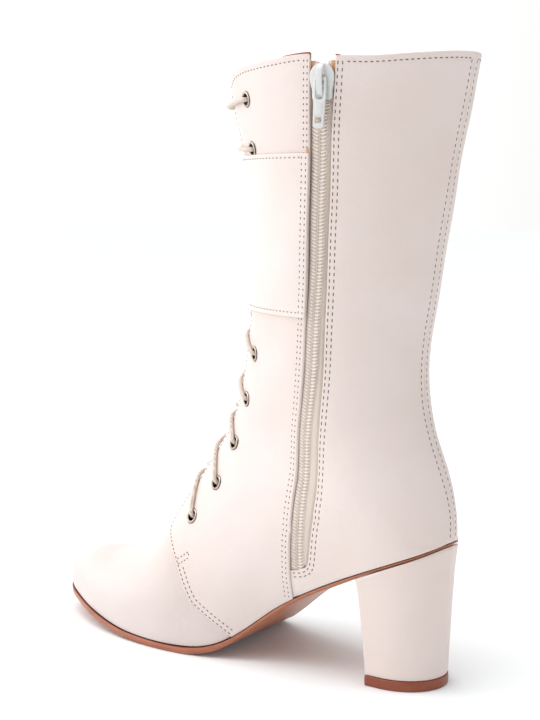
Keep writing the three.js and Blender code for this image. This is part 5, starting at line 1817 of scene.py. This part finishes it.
def outsole():
    s = np.unique(np.concatenate([np.linspace(0, 1, 14)**1.6 * 2, np.linspace(2, 10, 90), np.linspace(10, 13.4, 70), np.linspace(13.4, 15.6, 30), 16 - np.linspace(0, 1, 12)**1.7 * 0.4]))
    n = len(s)
    thick = np.interp(s, SOLE[:, 0], SOLE[:, 1])
    out = np.where(s < 11, 0.9, np.where(s > 12.8, -0.35, 0.9 + (s - 11) / 1.8 * -1.25))
    zt = COLUMN["bz"](s) - 0.3
    zb_ = zt - thick
    zb_ = np.where(np.abs(zb_) < 0.32, 0, np.maximum(zb_, 0))
    th = zt - zb_
    waist = smooth(9.4, 10.2, s) * (1 - smooth(11.3, 12.3, s))
    zb_l = zb_ + waist * np.minimum(1.7, np.maximum(th - 0.9, 0))
    th_l = zt - zb_l
    out_l = out - 1.4 * waist
    crown = 1.0 * smooth(9.6, 11, s) * (1 - smooth(12.3, 12.9, s))
    r = np.minimum(0.9, th * 0.42)
    # ring: dark ledge, side wall, rounded foot, bottom across, and back over the top
    prof = []      # (inset, height above the bottom as z, material)
    rim = [(0.55, zt, 2), (0.10, zt, 2), (0.0, zt - 0.10, 1), (-0.05, zt - 0.5 * th, 1), (0.0, zb_ + r, 1), (0.28, zb_ + 0.38 * r, 1), (0.9, zb_ + 0.06 * r, 1), (1.7, zb_, 0)]
    ring_pts = []
    fr = np.linspace(0, 1, 15)[1:-1]
    for d, z, mt in rim:
        x, y = base_line(s, 1, out - np.minimum(d, 0.92 * np.maximum(COLUMN["ym"](s), 0.0) + 0.001) if d > 0 else out - d)
        ring_pts.append(np.stack([x, y, z * np.ones(n)], 1))
    xm, ym_ = base_line(s, 1, out - np.minimum(1.7, 0.92 * np.maximum(COLUMN["ym"](s), 0) + 0.001))
    xl, yl_ = base_line(s, -1, out_l - np.minimum(1.7, 0.92 * np.maximum(COLUMN["yl"](s), 0) + 0.001))
    for k in fr:
        zz = zb_ + (zb_l - zb_) * k - crown * math.sin(math.pi * k)**0.8
        ring_pts.append(np.stack([xm + (xl - xm) * k, ym_ + (yl_ - ym_) * k, np.maximum(zz, 0)], 1))
    r = np.minimum(0.9, th_l * 0.42)
    rim = [(0.55, zt), (0.10, zt), (0.0, zt - 0.10), (-0.05, zt - 0.5 * th_l), (0.0, zb_l + r), (0.28, zb_l + 0.38 * r), (0.9, zb_l + 0.06 * r), (1.7, zb_l)]
    for d, z in rim[::-1]:
        x, y = base_line(s, -1, out_l - np.minimum(d, 0.92 * np.maximum(COLUMN["yl"](s), 0.0) + 0.001) if d > 0 else out_l - d)
        ring_pts.append(np.stack([x, y, z * np.ones(n)], 1))
    x1, y1 = ring_pts[0][:, 0], ring_pts[0][:, 1]
    x2, y2 = ring_pts[-1][:, 0], ring_pts[-1][:, 1]
    for k in (0.75, 0.5, 0.25):
        ring_pts.append(np.stack([x1 + (x2 - x1) * k, y1 + (y2 - y1) * k, zt - 0.05], 1))
    m = len(ring_pts)
    V = np.stack(ring_pts, 1).reshape(-1, 3)
    kinds = [2, 2, 1, 1, 1, 1, 1] + [0] * (len(fr) + 1) + [1, 1, 1, 1, 1, 2, 2] + [2] * 4
    F, M_ = [], []
    for i in range(n - 1):
        for j in range(m):
            a, b = i * m + j, i * m + (j + 1) % m
            F.append([a, b, b + m, a + m])
            M_.append(kinds[j] if j < len(kinds) else 2)
    F.append(list(range(m))[::-1]); M_.append(1)
    F.append([(n - 1) * m + j for j in range(m)]); M_.append(1)
    V, F, M_ = merge(V, F, M_, 5e-3)
    # the underside takes the lighter copy of the sole leather: painted light
    o = new_object("outsole_leather", V, F, "outsole", materials=[M_SOLE_BOTTOM_LIT.m, M_SOLE_EDGE.m, M_SOLE_DARK.m], face_material=M_)
    fix_normals(o)
    return o


def fix_normals(o):
    import bmesh
    bm = bmesh.new()
    bm.from_mesh(o.data)
    bmesh.ops.recalc_face_normals(bm, faces=bm.faces)
    big = [f for f in bm.faces if len(f.verts) > 4]
    if big:
        bmesh.ops.triangulate(bm, faces=big)
    bm.to_mesh(o.data)
    bm.free()
    o.data.update()


outsole()


def heel_rings(levels, out_top, out_low, z_low, top_gap=0.3):
    """Heel outline at each level, medial breast corner -> back -> lateral corner -> along the breast."""
    K = 30
    f = np.sin(np.linspace(0, 1, K + 1) * np.pi / 2)
    xt = BREAST_X + (COLUMN["bx"](HEEL_ROW) - BREAST_X) * f
    qq = np.linspace(16, 12, 1600)
    rowq = np.interp(xt, COLUMN["bx"](qq), qq)
    rowq[-1] = HEEL_ROW
    thick = np.interp(rowq, SOLE[:, 0], SOLE[:, 1])
    zt = COLUMN["bz"](rowq) - 0.3 - thick - top_gap
    cut = 0.22
    k = np.linspace(0, 1, K + 1)
    al = (k - cut) / (1 - cut) * np.pi / 2

    def low(side, o):
        x = np.where(k < cut, 15.6 + o + (7.6 - 15.6) * k / cut - 2 * o * k, 7.6 - (24.2 + o) * np.sin(np.maximum(al, 0)))
        y = 0.9 + side * np.where(k < cut, 20.9 + o, (20.9 + o) * np.cos(np.maximum(al, 0)))
        return x, y
    sides = {}
    for side in (1, -1):
        tx, ty = base_line(rowq, side, out_top)
        lx, ly = low(side, out_low)
        sides[side] = (tx, ty, lx, ly)
    rings = []
    for v, bul in levels:
        half = {}
        for side in (1, -1):
            tx, ty, lx, ly = sides[side]
            half[side] = np.stack([tx + (lx - tx) * bul, ty + (ly - ty) * bul, zt + (z_low - zt) * v], 1)
        a, b = half[1], half[-1]
        br = np.linspace(b[0], a[0], 14)[1:-1]
        near = [b[0] + (a[0] - b[0]) * e for e in (0.03,)]
        loop = np.vstack([a, b[::-1][1:], near, br, [a[0] + (b[0] - a[0]) * 0.03]])
        rings.append(loop)
    return rings


def soften_ring(loop, times=2):
    for _ in range(times):
        nx = np.roll(loop, -1, 0)
        loop = np.stack([loop * 0.75 + nx * 0.25, loop * 0.25 + nx * 0.75], 1).reshape(-1, 3)
    return loop


def loft(name, rings, node, mats, kinds=None, dome=0.0):
    n, m = len(rings), len(rings[0])
    V = np.vstack(rings)
    F, M_ = [], []
    for i in range(n - 1):
        for j in range(m):
            a, b = i * m + j, i * m + (j + 1) % m
            F.append([a, b, b + m, a + m])
            M_.append(kinds[i] if kinds else 0)
    F.append(list(range(m))); M_.append(kinds[0] if kinds else 0)
    F.append([(n - 1) * m + j for j in range(m)][::-1]); M_.append(kinds[-1] if kinds else 0)
    o = new_object(name, V, F, node, materials=mats, face_material=M_)
    fix_normals(o)
    return o


LV = np.linspace(0, 1, 26)
BUL = np.interp(LV, [0, 0.08, 0.2, 0.4, 0.7, 1], [0, 0.16, 0.32, 0.52, 0.77, 1])
for _ in range(3):
    BUL[1:-1] = (BUL[:-2] + 2 * BUL[1:-1] + BUL[2:]) / 4
levels = [(0.0, 0.0), (0.004, 0.004)] + list(zip(LV[1:-1], BUL[1:-1])) + [(0.992, 0.995), (1.0, 1.0)]
rings = [soften_ring(r) for r in heel_rings(levels, -0.25, 0.0, TOP_PIECE_T + 0.25)]


def shrink(r, d):
    c = r.mean(0)
    v = r - c
    v[:, 2] = 0
    return r - v / np.maximum(np.linalg.norm(v, axis=1, keepdims=True), 1e-6) * d


rings[0] = shrink(rings[0], 0.5)
rings[-1] = shrink(rings[-1], 0.45)
loft("heel_cover", rings, "heel", [M_HEEL_LIT.m])

tp = heel_rings([(1.0, 1.0)], 0, 0.2, TOP_PIECE_T + 0.02)[0]
tp = soften_ring(tp)
prof = [(5.22, 0.35), (5.05, 0.08), (4.7, 0.0), (2.6, -0.12), (0.5, 0.0), (0.15, 0.16), (0.0, 0.5)]
rr = []
for z, d in prof:
    r = shrink(tp, d)
    r[:, 2] = z
    rr.append(r)
loft("top_piece_rubber", rr, "heel_top_piece", [M_TOPPIECE.m])


def insole_sock():
    s = np.linspace(1.0, 15.7, 110)
    z = COLUMN["bz"](s)
    rows = []
    for d, h in ((4.0, 0.15), (3.35, 0.5), (3.3, 1.6), (3.9, 2.05)):
        x, y = base_line(s, 1, -d)
        rows.append(np.stack([x, y, z + h], 1))
    x1, y1 = base_line(s, 1, -3.9)
    x2, y2 = base_line(s, -1, -3.9)
    for k in np.linspace(0, 1, 13)[1:-1]:
        rows.append(np.stack([x1 + (x2 - x1) * k, y1 + (y2 - y1) * k, z + 2.05 - 0.5 * math.sin(math.pi * k)], 1))
    for d, h in ((3.9, 2.05), (3.3, 1.6), (3.35, 0.5), (4.0, 0.15)):
        x, y = base_line(s, -1, -d)
        rows.append(np.stack([x, y, z + h], 1))
    m, n = len(rows), len(s)
    V = np.stack(rows, 1).reshape(-1, 3)
    F = [[i * m + j, i * m + (j + 1) % m, (i + 1) * m + (j + 1) % m, (i + 1) * m + j] for i in range(n - 1) for j in range(m)]
    F += [list(range(m))[::-1], [(n - 1) * m + j for j in range(m)]]
    o = new_object("insole_sock", V, F, "insole", materials=[M_SOCK.m])
    fix_normals(o)


insole_sock()

# ------------------------------------------------------------------ stage
bpy.ops.mesh.primitive_plane_add(size=14, location=(0, 0, 0))
floor = bpy.context.object
floor.name = "studio_floor"
fm = Mat("studio_floor")
fm.color(fm.mix(fm.rangemap(fm.noise(3, 2), 0.3, 0.7, 0, 1), (0.93, 0.94, 0.945, 1), (0.95, 0.96, 0.965, 1)))
fm.rough(0.9)
fm.set(**{"Specular IOR Level": 0.1, "Emission Color": (0.25, 0.75, 1, 1), "Emission Strength": 0.03})
floor.data.materials.append(fm.m)

world = bpy.data.worlds.new("studio")
bpy.context.scene.world = world
world.use_nodes = True
wn = world.node_tree
BG = wn.nodes["Background"]


def lobe(direction, lo, hi, amount):
    """Soft bright patch of the studio's walls around one direction."""
    tc_ = wn.nodes.new("ShaderNodeTexCoord")
    d = wn.nodes.new("ShaderNodeVectorMath")
    d.operation = "DOT_PRODUCT"
    d.inputs[1].default_value = Vector(direction).normalized()
    wn.links.new(tc_.outputs["Generated"], d.inputs[0])
    r = wn.nodes.new("ShaderNodeMapRange")
    r.interpolation_type = "SMOOTHSTEP"
    r.inputs[1].default_value, r.inputs[2].default_value, r.inputs[3].default_value, r.inputs[4].default_value = lo, hi, 0.0, amount
    wn.links.new(d.outputs["Value"], r.inputs[0])
    return r.outputs[0]


def plus(a, b):
    m_ = wn.nodes.new("ShaderNodeMath")
    m_.operation = "ADD"
    for i_, x_ in enumerate((a, b)):
        if isinstance(x_, (int, float)):
            m_.inputs[i_].default_value = x_
        else:
            wn.links.new(x_, m_.inputs[i_])
    return m_.outputs[0]


# walls: brighter behind the boot, at the left of the picture and overhead
LOBES = [((0.587, -0.80, -0.05), 0.80, 0.95, 0.68), ((0.93, 0.35, 0.15), 0.0, 1.0, 1.60), ((-0.90, -0.40, 0.10), 0.2, 1.0, 0.36), ((0, 0, 1), 0.5, 1.0, 0.66)]
total = 0.265
for dr_, lo_, hi_2, am_ in LOBES:
    total = plus(total, lobe(dr_, lo_, hi_2, am_))
wn.links.new(total, BG.inputs["Strength"])
BG.inputs["Color"].default_value = (1.0, 0.995, 0.99, 1)


def area(name, loc, target, size, power, color=(1, 1, 1)):
    l = bpy.data.lights.new(name, "AREA")
    l.shape = "RECTANGLE"
    l.size, l.size_y = size
    l.energy = power
    l.color = color
    o = bpy.data.objects.new(name, l)
    o.location = loc
    o.rotation_euler = (Vector(target) - Vector(loc)).to_track_quat("-Z", "Y").to_euler()
    bpy.context.scene.collection.objects.link(o)
    return o


mid = (0.06, 0.0, 0.15)
area("key", (1.5, 0.9, 0.9), mid, (0.8, 1.2), 4.6, (1.0, 0.99, 0.98))
area("top", (0.1, 0.2, 1.7), mid, (1.2, 1.2), 9.2)

cam = bpy.data.cameras.new("camera")
co = bpy.data.objects.new("camera", cam)
bpy.context.scene.collection.objects.link(co)
fw = Vector((0.58693716, -0.8006918, -0.11998922)).normalized()
rt = fw.cross(Vector((0, 0, 1))).normalized()
up = rt.cross(fw)
rot = Matrix((rt, up, -fw)).transposed()
co.matrix_world = Matrix.Translation((-0.34119, 0.58724, 0.24185)) @ rot.to_4x4()
cam.sensor_fit = "VERTICAL"
cam.sensor_height = 36
cam.sensor_width = 27
cam.lens = 1404.91 / 720 * 36
cam.clip_start = 0.05
cam.clip_end = 60
bpy.context.scene.camera = co
bpy.context.scene.view_settings.view_transform = "Standard"
bpy.context.scene.view_settings.look = "None"
